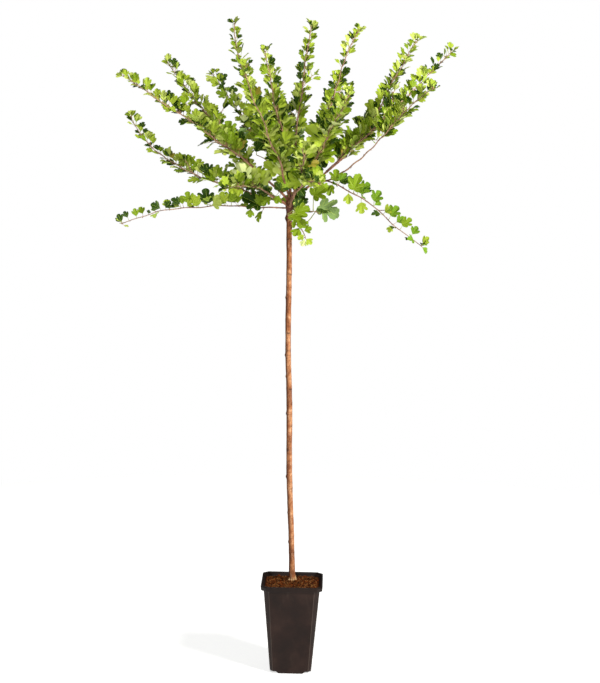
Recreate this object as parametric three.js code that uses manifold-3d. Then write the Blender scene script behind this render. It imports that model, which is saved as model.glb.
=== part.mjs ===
// A gooseberry grown as a standard: one tall bare stem with a round open crown of leafy shoots,
// in a square nursery pot filled with compost.
// Millimetres, +Z up. The origin is the centre of the pot's flat underside.
// +X is the plant's right, -Y its front.

import * as THREE from 'three';
import { mergeVertices } from 'three/addons/utils/BufferGeometryUtils.js';
import Module from 'manifold-3d';

const wasm = await Module();
wasm.setup();

// ---------------------------------------------------------------- driving dimensions

const CLEARANCE = 0.3; // gap that neighbouring solids keep
const SLIVER = 0.1; // a joined mass of foliage loses edges finer than this

const POT = {
  height: 222,
  rimWidth: 150,
  rimBand: 12, // height of the thick band round the rim
  rimTaper: 2, // how much narrower the band is at its lower edge
  bodyTop: 138, // width of the body just under the band
  foot: 100, // width of the body at the ground
  wall: 2,
  floor: 3,
  cornerTop: 13, // chamfer of the corners at the rim
  cornerFoot: 7, // and at the ground
  drainHeight: 5, // height of the drain notch in each bottom corner
  drainReach: 21, // its length along each wall
};

const SOIL = {
  belowRim: 8,
  mound: 3, // rise of the surface round the stem
  moundRadius: 34,
  moundTop: 14,
  moundSides: 14,
};

const TRUNK = {
  foot: new THREE.Vector3(0, 18, POT.height - SOIL.belowRim + SOIL.mound),
  forkHeight: 1152,
  lean: -22, // sideways shift of the fork from the foot
  footRadius: 8.8, // in the root flare
  flareHeight: 26,
  flareFade: 1.6, // how fast the flare runs out over that height
  radius: 7.1, // just above the flare
  forkRadius: 6.7,
  graftHeight: 1136, // the swollen union under the crown
  graftSwell: 2.6,
  graftSpread: 16,
  waviness: 1.3,
  waveX: 17, // turns of the waviness, in radians over the stem's length
  waveY: 13,
  offcut: 10, // length below the ground that the flat cut takes off
  cutBox: 60, // size of the block that cuts it
  sides: 10,
  rings: 26,
};

const LIMB = {
  mainRadius: 3.8, // of a shoot that leaves the trunk
  sideRadius: 2.7, // of one that leaves another shoot
  weakRadius: 2.1, // of one that droops
  heartRadius: 1.6, // of a short one at the heart of the crown
  tipRadius: 0.9,
  taper: 0.45, // below 1 where a shoot thins soonest near its foot
  pull: 0.36, // how far the curve's handles reach, as a share of its chord
  bow: 2.5, // slow waviness of a shoot
  bowLength: 150, // length of one such wave
  bowLift: 0.6, // its rise as a share of its sideways swing
  zigzag: 0.9, // kink at the leaf nodes
  easeEnds: 6, // bow and kinks grow to their full size over one part in so many
  boughSides: 7,
  boughStep: 30,
  stemSides: 3,
  stemStep: 36,
};

const LEAF = {
  large: 56, // blade length at the foot of a leafy stretch
  small: 24, // and at its tip
  fade: 0.9, // below 1 where they shrink soonest near the foot
  shortest: 0.8, // chance size of a leaf, as a share
  longest: 1.15,
  lobedFrom: 29, // leaves longer than this have lobes
  thickness: 0.04, // as a share of the blade's length
  thickAt: 0.3, // where along its length a blade is thickest
  forward: 0.62, // how far a leaf leans along its shoot
  spread: 1.0, // how far it leans out from the shoot
  lift: 0.45, // and how far it turns up to the light
  droop: -0.5, // the same for the old leaves at the heart of the crown
  light: 0.8, // how far the leaves of a slanting shoot crowd onto its upper side
  faceForward: 0.35, // how far a leaf's face tips along its shoot
  faceScatter: 1.3, // unevenness of the way that the faces look
  sunk: 1.2, // depth of a leaf's foot in its shoot, in shoot radii
  tries: 6, // turns tried before a leaf is left out
  shrink: 0.88, // size of each try as a share of the last
  turn: 137.5, // degrees from one leaf node to the next
  tipCluster: 3, // leaves at a shoot's tip
};

const TWIG = {
  every: 4, // one node in so many bears a side twig
  until: 0.6, // share of the leafy stretch with side twigs
  longest: 46,
  shortest: 20,
  radius: 1.3,
  tipRadius: 0.8,
  forward: 0.8, // how far a twig leans along its shoot
  spread: 0.9, // and out from it
  sag: 0.06, // as a share of its length
  sunk: 0.6, // depth of its foot in the shoot, in shoot radii
  leaves: 2,
  leafSize: 0.85, // as a share of a leaf on the shoot itself
  lastNode: 0.93, // share of the twig's length at its last leaf
};

// A mass of foliage keeps to the space that lies nearer to its own stem than to any other limb.
const SPACE = {
  step: 8, // distance between the points that stand for a limb
  margin: 1.2,
  leafGap: 2.4, // between two leaves of one mass
};

// Every leafy shoot. azimuth is counted from +X towards +Y, reach and rise run from the shoot's
// start to its tip, leave and arrive are its slopes at the two ends, and swing turns it sideways.
// bare is the share of its length with no leaves, and gap the distance between leaf nodes.
// A shoot on the trunk starts at a height, one on another shoot at a share of that one's length.
const SHOOTS = [
  { name: 'centre', on: 'trunk', start: 1150, azimuth: 27, reach: 50, rise: 414,
    leave: 85, arrive: 81, swing: 0, bare: 0.24, gap: 23 },
  { name: 'right_mid', on: 'trunk', start: 1144, azimuth: 5, reach: 382, rise: 364,
    leave: 38, arrive: 42, swing: 26, bare: 0.27, gap: 23 },
  { name: 'left_high', on: 'trunk', start: 1146, azimuth: -158, reach: 411, rise: 284,
    leave: 36, arrive: 33, swing: -26, bare: 0.3, gap: 23 },
  { name: 'left_mid', on: 'trunk', start: 1138, azimuth: 167, reach: 405, rise: 206,
    leave: 14, arrive: 66, swing: 26, bare: 0.18, gap: 23 },
  { name: 'right_tall', on: 'trunk', start: 1148, azimuth: -35, reach: 190, rise: 396,
    leave: 32, arrive: 59, swing: 12, bare: 0.24, gap: 23 },
  { name: 'back_low', on: 'trunk', start: 1146, azimuth: 78, reach: 370, rise: 215,
    leave: 35, arrive: 50, swing: 15, bare: 0.24, gap: 25 },
  { name: 'front_low', on: 'trunk', start: 1142, azimuth: -84, reach: 345, rise: 127,
    leave: 30, arrive: 20, swing: -8, bare: 0.45, gap: 26 },
  { name: 'left_low', on: 'trunk', start: 1130, azimuth: -164, reach: 405, rise: -40,
    leave: 1, arrive: -24, swing: -12, bare: 0.12, gap: 34 },
  { name: 'right_low', on: 'right_mid', start: 0.17, azimuth: -23, reach: 266, rise: -151,
    leave: -10, arrive: -30, swing: -5, bare: 0.1, gap: 34 },
  { name: 'back_low_left', on: 'trunk', start: 1136, azimuth: 118, reach: 350, rise: 150,
    leave: 20, arrive: 35, swing: -12, bare: 0.25, gap: 26 },
  { name: 'back_low_right', on: 'trunk', start: 1132, azimuth: 74, reach: 325, rise: 118,
    leave: 25, arrive: 5, swing: -8, bare: 0.25, gap: 26 },
  { name: 'front_low_left', on: 'trunk', start: 1132, azimuth: -117, reach: 300, rise: 46,
    leave: 25, arrive: -10, swing: 6, bare: 0.42, gap: 28 },
  { name: 'front_low_right', on: 'trunk', start: 1130, azimuth: -74, reach: 275, rise: 62,
    leave: 20, arrive: -15, swing: 8, bare: 0.42, gap: 28 },
  { name: 'leader', on: 'centre', start: 0.05, azimuth: 139, reach: 195, rise: 404,
    leave: 74, arrive: 84, swing: -26, bare: 0.26, gap: 23 },
  { name: 'front_left', on: 'trunk', start: 1149, azimuth: -108, reach: 300, rise: 279,
    leave: 46, arrive: 55, swing: -8, bare: 0.2, gap: 25 },
  { name: 'centre_left', on: 'centre', start: 0.1, azimuth: -113, reach: 155, rise: 300,
    leave: 66, arrive: 73, swing: -6, bare: 0.16, gap: 23 },
  { name: 'left_inner', on: 'left_high', start: 0.26, azimuth: 133, reach: 340, rise: 257,
    leave: 43, arrive: 24, swing: -22, bare: 0.1, gap: 23 },
  { name: 'right_inner', on: 'right_mid', start: 0.22, azimuth: 42, reach: 295, rise: 325,
    leave: 36, arrive: 30, swing: 20, bare: 0.08, gap: 23 },
  { name: 'right_outer', on: 'right_mid', start: 0.12, azimuth: -31, reach: 324, rise: 226,
    leave: 12, arrive: 18, swing: -22, bare: 0.5, gap: 22 },
  { name: 'front_right', on: 'right_tall', start: 0.2, azimuth: -71, reach: 280, rise: 180,
    leave: 32, arrive: 31, swing: 0, bare: 0.14, gap: 25 },
  { name: 'back_left', on: 'leader', start: 0.15, azimuth: 126, reach: 320, rise: 222,
    leave: 20, arrive: 40, swing: 7, bare: 0.12, gap: 25 },
  { name: 'back_mid', on: 'leader', start: 0.23, azimuth: 93, reach: 270, rise: 200,
    leave: 5, arrive: 70, swing: 18, bare: 0.12, gap: 25 },
  { name: 'back_right', on: 'centre', start: 0.2, azimuth: 61, reach: 270, rise: 190,
    leave: 30, arrive: 65, swing: 20, bare: 0.1, gap: 25 },
  { name: 'heart_right', on: 'trunk', start: 1114, azimuth: -36, reach: 88, rise: 6,
    leave: 25, arrive: -20, swing: 0, bare: 0, gap: 26 },
  { name: 'heart_front', on: 'trunk', start: 1108, azimuth: -92, reach: 60, rise: 8,
    leave: 25, arrive: -10, swing: 0, bare: 0, gap: 25 },
  { name: 'heart_left', on: 'left_mid', start: 0.14, azimuth: -150, reach: 60, rise: 34,
    leave: 30, arrive: 40, swing: 0, bare: 0, gap: 25 },
  { name: 'heart_back', on: 'trunk', start: 1108, azimuth: 88, reach: 80, rise: 12,
    leave: 25, arrive: 0, swing: 0, bare: 0, gap: 26 },
  { name: 'heart_top', on: 'centre', start: 0.12, azimuth: -68, reach: 74, rise: 42,
    leave: 40, arrive: 20, swing: 0, bare: 0, gap: 24 },
  { name: 'heart_top_left', on: 'centre', start: 0.1, azimuth: 178, reach: 84, rise: 64,
    leave: 50, arrive: 30, swing: 0, bare: 0, gap: 26 },
  { name: 'heart_top_right', on: 'centre', start: 0.13, azimuth: 32, reach: 74, rise: 62,
    leave: 45, arrive: 30, swing: 0, bare: 0, gap: 26 },
  { name: 'hanging', on: 'trunk', start: 1098, azimuth: -24, reach: 44, rise: -40,
    leave: 0, arrive: -75, swing: 0, bare: 0, gap: 20 },
];

const COLOURS = {
  pot: { color: 0x2f2a28, roughness: 0.55, metalness: 0 },
  soil: { color: 0x4a2814, roughness: 0.95, metalness: 0 },
  bark: { color: 0xb07a4e, roughness: 0.8, metalness: 0 },
  bough: { color: 0x8f6450, roughness: 0.75, metalness: 0 },
  foliage: { color: 0x6f9a2c, roughness: 0.6, metalness: 0 },
};

// ---------------------------------------------------------------- helpers

const UP = new THREE.Vector3(0, 0, 1);
const radians = THREE.MathUtils.degToRad;
const mix = THREE.MathUtils.lerp;

// A seeded stream of numbers from 0 to 1.
function randomStream(seed) {
  let state = (seed * 2654435761 + 12345) >>> 0;
  return () => {
    state = (Math.imul(state, 1664525) + 1013904223) >>> 0;
    return state / 4294967296;
  };
}

function direction(azimuth, slope) {
  const a = radians(azimuth);
  const s = radians(slope);
  return new THREE.Vector3(Math.cos(s) * Math.cos(a), Math.cos(s) * Math.sin(a), Math.sin(s));
}

function toSolid(geometry) {
  const bare = geometry.clone();
  bare.deleteAttribute('normal');
  bare.deleteAttribute('uv');
  const merged = mergeVertices(bare, 1e-4);
  return new wasm.Manifold(new wasm.Mesh({
    numProp: 3,
    vertProperties: new Float32Array(merged.attributes.position.array),
    triVerts: new Uint32Array(merged.index.array),
  }));
}

function toGeometry(solid) {
  const { vertProperties, triVerts } = solid.getMesh();
  const geometry = new THREE.BufferGeometry();
  geometry.setAttribute('position', new THREE.BufferAttribute(new Float32Array(vertProperties), 3));
  geometry.setIndex(new THREE.BufferAttribute(new Uint32Array(triVerts), 1));
  geometry.computeVertexNormals();
  return geometry;
}

// The biggest connected body of a solid: loose scraps are dropped and sealed hollows filled.
function largestBody(solid) {
  return solid.decompose().reduce((best, body) => (body.volume() > best.volume() ? body : best));
}

// A closed solid through level rings of equal point counts, from the lowest to the highest.
function loftRings(rings) {
  const count = rings[0].length;
  const points = rings.flat();
  const index = [];
  for (let level = 0; level < rings.length - 1; level += 1) {
    for (let i = 0; i < count; i += 1) {
      const a = level * count + i;
      const b = level * count + ((i + 1) % count);
      index.push(a, b, b + count, a, b + count, a + count);
    }
  }
  const top = (rings.length - 1) * count;
  for (let i = 1; i < count - 1; i += 1) {
    index.push(0, i + 1, i, top, top + i, top + i + 1);
  }
  const geometry = new THREE.BufferGeometry().setFromPoints(points);
  geometry.setIndex(index);
  return toSolid(geometry);
}

// A square ring with cut corners, centred on the axis.
function squareRing(width, corner, z) {
  const half = width / 2;
  const inner = half - corner;
  const corners = [
    [half, -inner], [half, inner], [inner, half], [-inner, half],
    [-half, inner], [-half, -inner], [-inner, -half], [inner, -half],
  ];
  return corners.map(([x, y]) => new THREE.Vector3(x, y, z));
}

// A round limb along a curve, from one share of its length to another: a cylinder bent to it.
function limbSolid({ curve, from, to, radiusAt, sides, rings }) {
  const cylinder = new THREE.CylinderGeometry(1, 1, 1, sides, rings);
  cylinder.deleteAttribute('normal');
  cylinder.deleteAttribute('uv');
  const geometry = mergeVertices(cylinder, 1e-4);
  const position = geometry.attributes.position;
  const frames = limbFrames(curve, from, to, rings);
  for (let i = 0; i < position.count; i += 1) {
    const ring = Math.round((position.getY(i) + 0.5) * rings);
    const { point, side, over, share } = frames[ring];
    const radius = radiusAt(share);
    const vertex = point.clone()
      .addScaledVector(side, position.getX(i) * radius)
      .addScaledVector(over, -position.getZ(i) * radius);
    position.setXYZ(i, vertex.x, vertex.y, vertex.z);
  }
  return toSolid(geometry);
}

// Points along a curve with two directions across it that turn as little as they can.
function limbFrames(curve, from, to, steps) {
  const frames = [];
  let side = null;
  for (let i = 0; i <= steps; i += 1) {
    const share = mix(from, to, i / steps);
    const tangent = curve.getTangentAt(share);
    if (side === null) {
      const seedAxis = Math.abs(tangent.z) > 0.9 ? new THREE.Vector3(1, 0, 0) : UP;
      side = new THREE.Vector3().crossVectors(seedAxis, tangent).normalize();
    } else {
      side = side.clone().addScaledVector(tangent, -side.dot(tangent)).normalize();
    }
    const over = new THREE.Vector3().crossVectors(tangent, side);
    frames.push({ point: curve.getPointAt(share), tangent, side, over, share });
  }
  return frames;
}

// ---------------------------------------------------------------- pot and soil

// Width and corner chamfer of the pot's body at a height.
function bodyAt(z) {
  const share = z / POT.height;
  return {
    width: mix(POT.foot, POT.bodyTop, share),
    corner: mix(POT.cornerFoot, POT.cornerTop, share),
  };
}

// The body's outline at a height, moved inwards by an even inset.
function bodyRing(z, inset) {
  const { width, corner } = bodyAt(z);
  return squareRing(width - 2 * inset, corner - inset * (2 - Math.SQRT2), z);
}

function makePot() {
  const bandFoot = POT.height - POT.rimBand;
  const body = loftRings([bodyRing(0, 0), bodyRing(POT.height, 0)]);
  const band = loftRings([
    squareRing(POT.rimWidth - POT.rimTaper, POT.cornerTop, bandFoot),
    squareRing(POT.rimWidth, POT.cornerTop, POT.height),
  ]);
  const hollow = loftRings([
    bodyRing(POT.floor, POT.wall),
    bodyRing(POT.height + 1, POT.wall),
  ]);
  let pot = body.add(band).subtract(hollow);
  for (const x of [-1, 1]) {
    for (const y of [-1, 1]) {
      const notch = new THREE.BoxGeometry(2 * POT.drainReach, 2 * POT.drainReach, 2 * POT.drainHeight);
      notch.translate(x * POT.foot / 2, y * POT.foot / 2, 0);
      pot = pot.subtract(toSolid(notch));
    }
  }
  return pot;
}

// The compost fills the pot to a little below the rim, with a low mound round the stem.
function makeSoil() {
  const inset = POT.wall + CLEARANCE;
  const surface = POT.height - SOIL.belowRim;
  const fill = loftRings([
    bodyRing(POT.floor + CLEARANCE, inset),
    bodyRing(surface, inset),
  ]);
  const mound = new THREE.CylinderGeometry(SOIL.moundTop, SOIL.moundRadius, 2 * SOIL.mound, SOIL.moundSides);
  mound.rotateX(radians(90));
  mound.translate(TRUNK.foot.x, TRUNK.foot.y, surface - CLEARANCE);
  return fill.add(toSolid(mound));
}

// ---------------------------------------------------------------- trunk

// The stem's centre line leans most low down, and waves a little.
class TrunkCurve extends THREE.Curve {
  getPoint(t, target = new THREE.Vector3()) {
    const wave = TRUNK.waviness * Math.sin(Math.PI * t);
    target.set(
      TRUNK.foot.x + TRUNK.lean * (1 - (1 - t) ** 2) + wave * Math.sin(TRUNK.waveX * t),
      TRUNK.foot.y + wave * Math.sin(TRUNK.waveY * t + 1),
      mix(TRUNK.foot.z - TRUNK.offcut, TRUNK.forkHeight, t),
    );
    return target;
  }
}

const trunkCurve = new TrunkCurve();
trunkCurve.arcLengthDivisions = 400;

// Share of the trunk's curve at a height above the origin.
function trunkShare(height) {
  const bottom = TRUNK.foot.z - TRUNK.offcut;
  return (height - bottom) / (TRUNK.forkHeight - bottom);
}

function trunkRadius(share) {
  const height = mix(-TRUNK.offcut, TRUNK.forkHeight - TRUNK.foot.z, share);
  const flare = Math.exp(-height / TRUNK.flareHeight * TRUNK.flareFade);
  const graft = (TRUNK.foot.z + height - TRUNK.graftHeight) / TRUNK.graftSpread;
  return mix(TRUNK.radius, TRUNK.forkRadius, share)
    + (TRUNK.footRadius - TRUNK.radius) * flare
    + TRUNK.graftSwell * Math.exp(-graft * graft);
}

function trunkSolid(swell) {
  const limb = limbSolid({
    curve: trunkCurve,
    from: 0,
    to: 1,
    radiusAt: (share) => trunkRadius(share) + swell,
    sides: TRUNK.sides,
    rings: TRUNK.rings,
  });
  const below = new THREE.BoxGeometry(TRUNK.cutBox, TRUNK.cutBox, TRUNK.cutBox);
  below.translate(TRUNK.foot.x, TRUNK.foot.y, TRUNK.foot.z - TRUNK.cutBox / 2);
  return limb.subtract(toSolid(below));
}

// ---------------------------------------------------------------- shoots

// A shoot's centre line: one cubic curve, with a slow bow and a kink at each leaf node.
class ShootCurve extends THREE.Curve {
  constructor(row, start, random) {
    super();
    const level = direction(row.azimuth, 0).multiplyScalar(row.reach);
    const tip = start.clone().add(level).addScaledVector(UP, row.rise);
    const handle = LIMB.pull * tip.distanceTo(start);
    this.base = new THREE.CubicBezierCurve3(
      start,
      start.clone().addScaledVector(direction(row.azimuth - row.swing, row.leave), handle),
      tip.clone().addScaledVector(direction(row.azimuth + row.swing, row.arrive), -handle),
      tip,
    );
    this.across = new THREE.Vector3(-Math.sin(radians(row.azimuth)), Math.cos(radians(row.azimuth)), 0);
    this.waves = this.base.getLength() / LIMB.bowLength;
    this.nodes = this.base.getLength() / row.gap;
    this.phase = random() * 2 * Math.PI;
  }

  getPoint(t, target = new THREE.Vector3()) {
    this.base.getPoint(t, target);
    const envelope = Math.min(1, LIMB.easeEnds * t) * Math.min(1, LIMB.easeEnds * (1 - t));
    const bow = LIMB.bow * Math.sin(2 * Math.PI * this.waves * t + this.phase);
    const kink = LIMB.zigzag * Math.sin(Math.PI * this.nodes * t);
    target.addScaledVector(this.across, envelope * (bow + kink));
    target.z += envelope * (LIMB.bowLift * bow - kink);
    return target;
  }
}

// Radius of a shoot at its foot.
function footRadius(row) {
  if (row.bare === 0) {
    return LIMB.heartRadius;
  }
  if (row.rise < 0) {
    return LIMB.weakRadius;
  }
  return row.on === 'trunk' ? LIMB.mainRadius : LIMB.sideRadius;
}

function growShoots() {
  const grown = new Map();
  SHOOTS.forEach((row, number) => {
    const random = randomStream(number + 1);
    const onTrunk = row.on === 'trunk';
    const parent = onTrunk ? trunkCurve : grown.get(row.on).curve;
    const parentShare = onTrunk ? trunkShare(row.start) : row.start;
    const curve = new ShootCurve(row, parent.getPointAt(parentShare), random);
    curve.arcLengthDivisions = 300;
    const length = curve.getLength();
    const radiusAt = (share) => mix(footRadius(row), LIMB.tipRadius, share ** LIMB.taper);
    grown.set(row.name, { ...row, curve, length, random, radiusAt });
  });
  return grown;
}

function shootSolid(shoot, from, to, sides, step, swell) {
  return limbSolid({
    curve: shoot.curve,
    from,
    to,
    radiusAt: (share) => shoot.radiusAt(share) + swell,
    sides,
    rings: Math.max(2, Math.round((to - from) * shoot.length / step)),
  });
}

// Bare boughs in order: each is cut clear of the trunk and of the boughs before it.
function makeBoughs(shoots) {
  const keepOut = [trunkSolid(CLEARANCE)];
  const boughs = new Map();
  for (const shoot of shoots.values()) {
    if (shoot.bare > 0) {
      const whole = shootSolid(shoot, 0, shoot.bare, LIMB.boughSides, LIMB.boughStep, 0);
      const bough = largestBody(keepOut.reduce((solid, other) => solid.subtract(other), whole));
      boughs.set(shoot.name, bough);
      keepOut.push(shootSolid(shoot, 0, shoot.bare, LIMB.boughSides, LIMB.boughStep, CLEARANCE));
    }
  }
  return { boughs, keepOut };
}

// ---------------------------------------------------------------- leaves and twigs

// The lobed outline of a leaf with its stalk, from the stalk's foot, for a blade one unit long.
const LOBED = [[-0.4, 0], [0.22, 0.48], [0.56, 0.22], [1, 0]];
// The outline of a small young leaf.
const YOUNG = [[-0.4, 0], [0.45, 0.42], [1, 0]];

// A leaf solid: its outline, with one point above and one below. It hangs from `foot`.
function leafShape(outline, length) {
  const mirrored = outline.slice(1, -1).reverse().map(([x, y]) => [x, -y]);
  const rim = [...outline, ...mirrored];
  const half = LEAF.thickness * length / 2;
  const points = rim.map(([x, y]) => new THREE.Vector3(x * length, y * length, 0));
  points.push(new THREE.Vector3(LEAF.thickAt * length, 0, half));
  points.push(new THREE.Vector3(LEAF.thickAt * length, 0, -half));
  const index = [];
  rim.forEach((_, i) => {
    const next = (i + 1) % rim.length;
    index.push(next, i, rim.length, i, next, rim.length + 1);
  });
  return { points, index };
}

// Where a leaf stands: its foot, the way it points and the way its face looks.
function placeLeaf({ outline, length, foot, along, face }) {
  const { points, index } = leafShape(outline, length);
  const stalk = -outline[0][0] * length;
  const across = new THREE.Vector3().crossVectors(face, along).normalize();
  const normal = new THREE.Vector3().crossVectors(along, across);
  const frame = new THREE.Matrix4().makeBasis(along, across, normal);
  frame.setPosition(foot.clone().addScaledVector(along, stalk));
  return { points: points.map((point) => point.applyMatrix4(frame)), index };
}

function leafSolid({ points, index }) {
  const geometry = new THREE.BufferGeometry().setFromPoints(points);
  geometry.setIndex(index);
  return toSolid(geometry);
}

// Points along every limb, by which each mass keeps to the space nearest to its own stem.
function limbSamples(shoots) {
  const samples = [];
  const add = (name, curve, length, radiusAt) => {
    const count = Math.ceil(length / SPACE.step);
    for (let i = 0; i <= count; i += 1) {
      const share = i / count;
      samples.push({ name, share, point: curve.getPointAt(share), radius: radiusAt(share) });
    }
  };
  add('trunk', trunkCurve, trunkCurve.getLength(), trunkRadius);
  for (const shoot of shoots.values()) {
    add(shoot.name, shoot.curve, shoot.length, shoot.radiusAt);
  }
  return samples;
}

// True where every point lies nearer to the mass's own stem than to any other limb.
function keepsToItsSpace(points, shoot, samples) {
  return points.every((point) => {
    let own = Infinity;
    let other = Infinity;
    for (const sample of samples) {
      const distance = point.distanceTo(sample.point) - sample.radius;
      if (sample.name === shoot.name && sample.share >= shoot.bare) {
        own = Math.min(own, distance);
      } else {
        other = Math.min(other, distance);
      }
    }
    return other - own > SPACE.margin && other > SPACE.margin;
  });
}

// The leaf's points with the middles of its edges.
function testPoints(leaf, outline) {
  const rim = leaf.points.slice(0, 2 * outline.length - 2);
  const outer = rim.slice(1);
  const middles = outer.slice(1).map((point, i) => point.clone().lerp(outer[i], 0.5));
  return [...outer, ...middles];
}

// The way out from a stem at a node: round the stem by an angle, drawn up to the light.
function outward(frame, angle) {
  const out = frame.side.clone().multiplyScalar(Math.cos(angle))
    .addScaledVector(frame.over, Math.sin(angle));
  const light = UP.clone().addScaledVector(frame.tangent, -UP.dot(frame.tangent));
  return out.addScaledVector(light, LEAF.light).normalize();
}

// Adds a leaf at a node, turned on and made smaller until it finds room.
function growLeaf(mass, frame, angle, length, outline) {
  const { shoot, samples, random } = mass;
  for (let attempt = 0; attempt < LEAF.tries; attempt += 1) {
    const turned = angle + attempt * radians(LEAF.turn / 2);
    const size = length * LEAF.shrink ** attempt;
    const along = frame.tangent.clone().multiplyScalar(LEAF.forward)
      .addScaledVector(outward(frame, turned), LEAF.spread)
      .addScaledVector(UP, mass.lift)
      .normalize();
    const scatter = new THREE.Vector3(random() - 0.5, random() - 0.7, random() - 0.5);
    const face = UP.clone()
      .addScaledVector(frame.tangent, LEAF.faceForward)
      .addScaledVector(scatter, LEAF.faceScatter);
    const foot = frame.point.clone().addScaledVector(along, -LEAF.sunk * frame.radius);
    const leaf = placeLeaf({ outline, length: size, foot, along, face });
    const fits = keepsToItsSpace(testPoints(leaf, outline), shoot, samples);
    const clear = fits && mass.leaves.every((other) => !leavesTouch(leaf, other, frame.point));
    if (clear) {
      mass.leaves.push({ ...leaf, node: frame.point });
      mass.solids.push(leafSolid(leaf));
      return;
    }
  }
}

// True where two leaves of one mass come close away from a node that they share.
function leavesTouch(leaf, other, node) {
  const shared = node.distanceTo(other.node) < 1;
  const skip = shared ? 2 : 1;
  const mine = bladeGrid(leaf, skip);
  const theirs = bladeGrid(other, skip);
  return mine.some((a) => theirs.some((b) => a.distanceTo(b) < SPACE.leafGap));
}

// A few points spread over a leaf's blade.
function bladeGrid(leaf, skip) {
  const rimCount = leaf.points.length - 2;
  const middle = leaf.points[rimCount].clone().lerp(leaf.points[rimCount + 1], 0.5);
  const grid = skip > 1 ? [] : [middle];
  for (let i = 1; i < rimCount; i += 1) {
    grid.push(leaf.points[i], leaf.points[i].clone().lerp(middle, 0.5));
  }
  return grid;
}

// A side twig with leaves on it, if it finds room.
function growTwig(mass, frame, angle, leafLength) {
  const { shoot, samples, random } = mass;
  const length = mix(TWIG.shortest, TWIG.longest, random());
  const aim = frame.tangent.clone().multiplyScalar(TWIG.forward)
    .addScaledVector(outward(frame, angle), TWIG.spread)
    .normalize();
  const foot = frame.point.clone().addScaledVector(aim, -TWIG.sunk * frame.radius);
  const tip = foot.clone().addScaledVector(aim, length);
  const bend = foot.clone().lerp(tip, 0.5).addScaledVector(UP, -TWIG.sag * length);
  const curve = new THREE.QuadraticBezierCurve3(foot, bend, tip);
  const middle = curve.getPointAt(0.5);
  if (!keepsToItsSpace([middle, tip], shoot, samples)) {
    return;
  }
  const radiusAt = (share) => mix(TWIG.radius, TWIG.tipRadius, share);
  mass.solids.push(limbSolid({ curve, from: 0, to: 1, radiusAt, sides: 3, rings: 2 }));
  for (let i = 1; i <= TWIG.leaves; i += 1) {
    const share = TWIG.lastNode * i / TWIG.leaves;
    const [, node] = limbFrames(curve, 0, share, 1);
    const turned = angle + i * radians(LEAF.turn);
    growLeaf(mass, { ...node, radius: radiusAt(share) }, turned, leafLength * TWIG.leafSize, YOUNG);
  }
}

// One mass of foliage: a three-sided stem, side twigs and leaves, joined into one solid.
function growMass(shoot, samples, keepOut) {
  const { random } = shoot;
  const from = shoot.bare + CLEARANCE / shoot.length;
  const stem = shootSolid(shoot, from, 1, LIMB.stemSides, LIMB.stemStep, 0);
  const heart = shoot.bare === 0;
  const lift = heart ? LEAF.droop : LEAF.lift;
  const mass = { shoot, samples, random, lift, leaves: [], solids: [stem] };
  const leafy = shoot.length * (1 - shoot.bare);
  const nodes = Math.max(2, Math.round(leafy / shoot.gap));
  const frames = limbFrames(shoot.curve, from, 1 - 2 / shoot.length, nodes);
  let angle = random() * 2 * Math.PI;
  frames.forEach((frame, number) => {
    const share = number / nodes;
    const size = heart ? LEAF.large : mix(LEAF.large, LEAF.small, share ** LEAF.fade);
    const length = size * mix(LEAF.shortest, LEAF.longest, random());
    const node = { ...frame, radius: shoot.radiusAt(frame.share) };
    const twiggy = !heart && number % TWIG.every === 0 && share < TWIG.until;
    angle += radians(LEAF.turn);
    if (number === nodes) {
      for (let i = 0; i < LEAF.tipCluster; i += 1) {
        growLeaf(mass, node, angle + i * radians(360 / LEAF.tipCluster), LEAF.small, YOUNG);
      }
    } else if (number > 0 && twiggy) {
      growTwig(mass, node, angle, length);
    } else if (number > 0) {
      growLeaf(mass, node, angle, length, length > LEAF.lobedFrom ? LOBED : YOUNG);
    }
  });
  const joined = wasm.Manifold.union(mass.solids);
  const clear = heart ? keepOut.reduce((solid, other) => solid.subtract(other), joined) : joined;
  return largestBody(largestBody(clear).asOriginal().setTolerance(SLIVER));
}

// ---------------------------------------------------------------- the plant

function addMesh(group, name, solid, look) {
  const mesh = new THREE.Mesh(toGeometry(solid), new THREE.MeshStandardMaterial(COLOURS[look]));
  mesh.name = name;
  group.add(mesh);
}

const plant = new THREE.Group();
addMesh(plant, 'pot', makePot(), 'pot');
addMesh(plant, 'soil', makeSoil(), 'soil');
addMesh(plant, 'trunk', trunkSolid(0), 'bark');

const shoots = growShoots();
const { boughs, keepOut } = makeBoughs(shoots);
boughs.forEach((solid, name) => addMesh(plant, `bough_${name}`, solid, 'bough'));

const samples = limbSamples(shoots);
for (const shoot of shoots.values()) {
  addMesh(plant, `foliage_${shoot.name}`, growMass(shoot, samples, keepOut), 'foliage');
}

export default plant;
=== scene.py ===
"""The looks of a gooseberry grown as a standard, in a square nursery pot.

Metres, +Z up. The origin is the centre of the pot's flat underside, -Y is the plant's front and
+X is right as seen from there. Limbs and leaves grow by the same seeded rule as the solids that
they replace, and where the solids have one large leaf a spray of real ones stands on its own
stalks.
"""

import math

import bpy
import numpy as np
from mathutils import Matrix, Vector, noise


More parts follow.
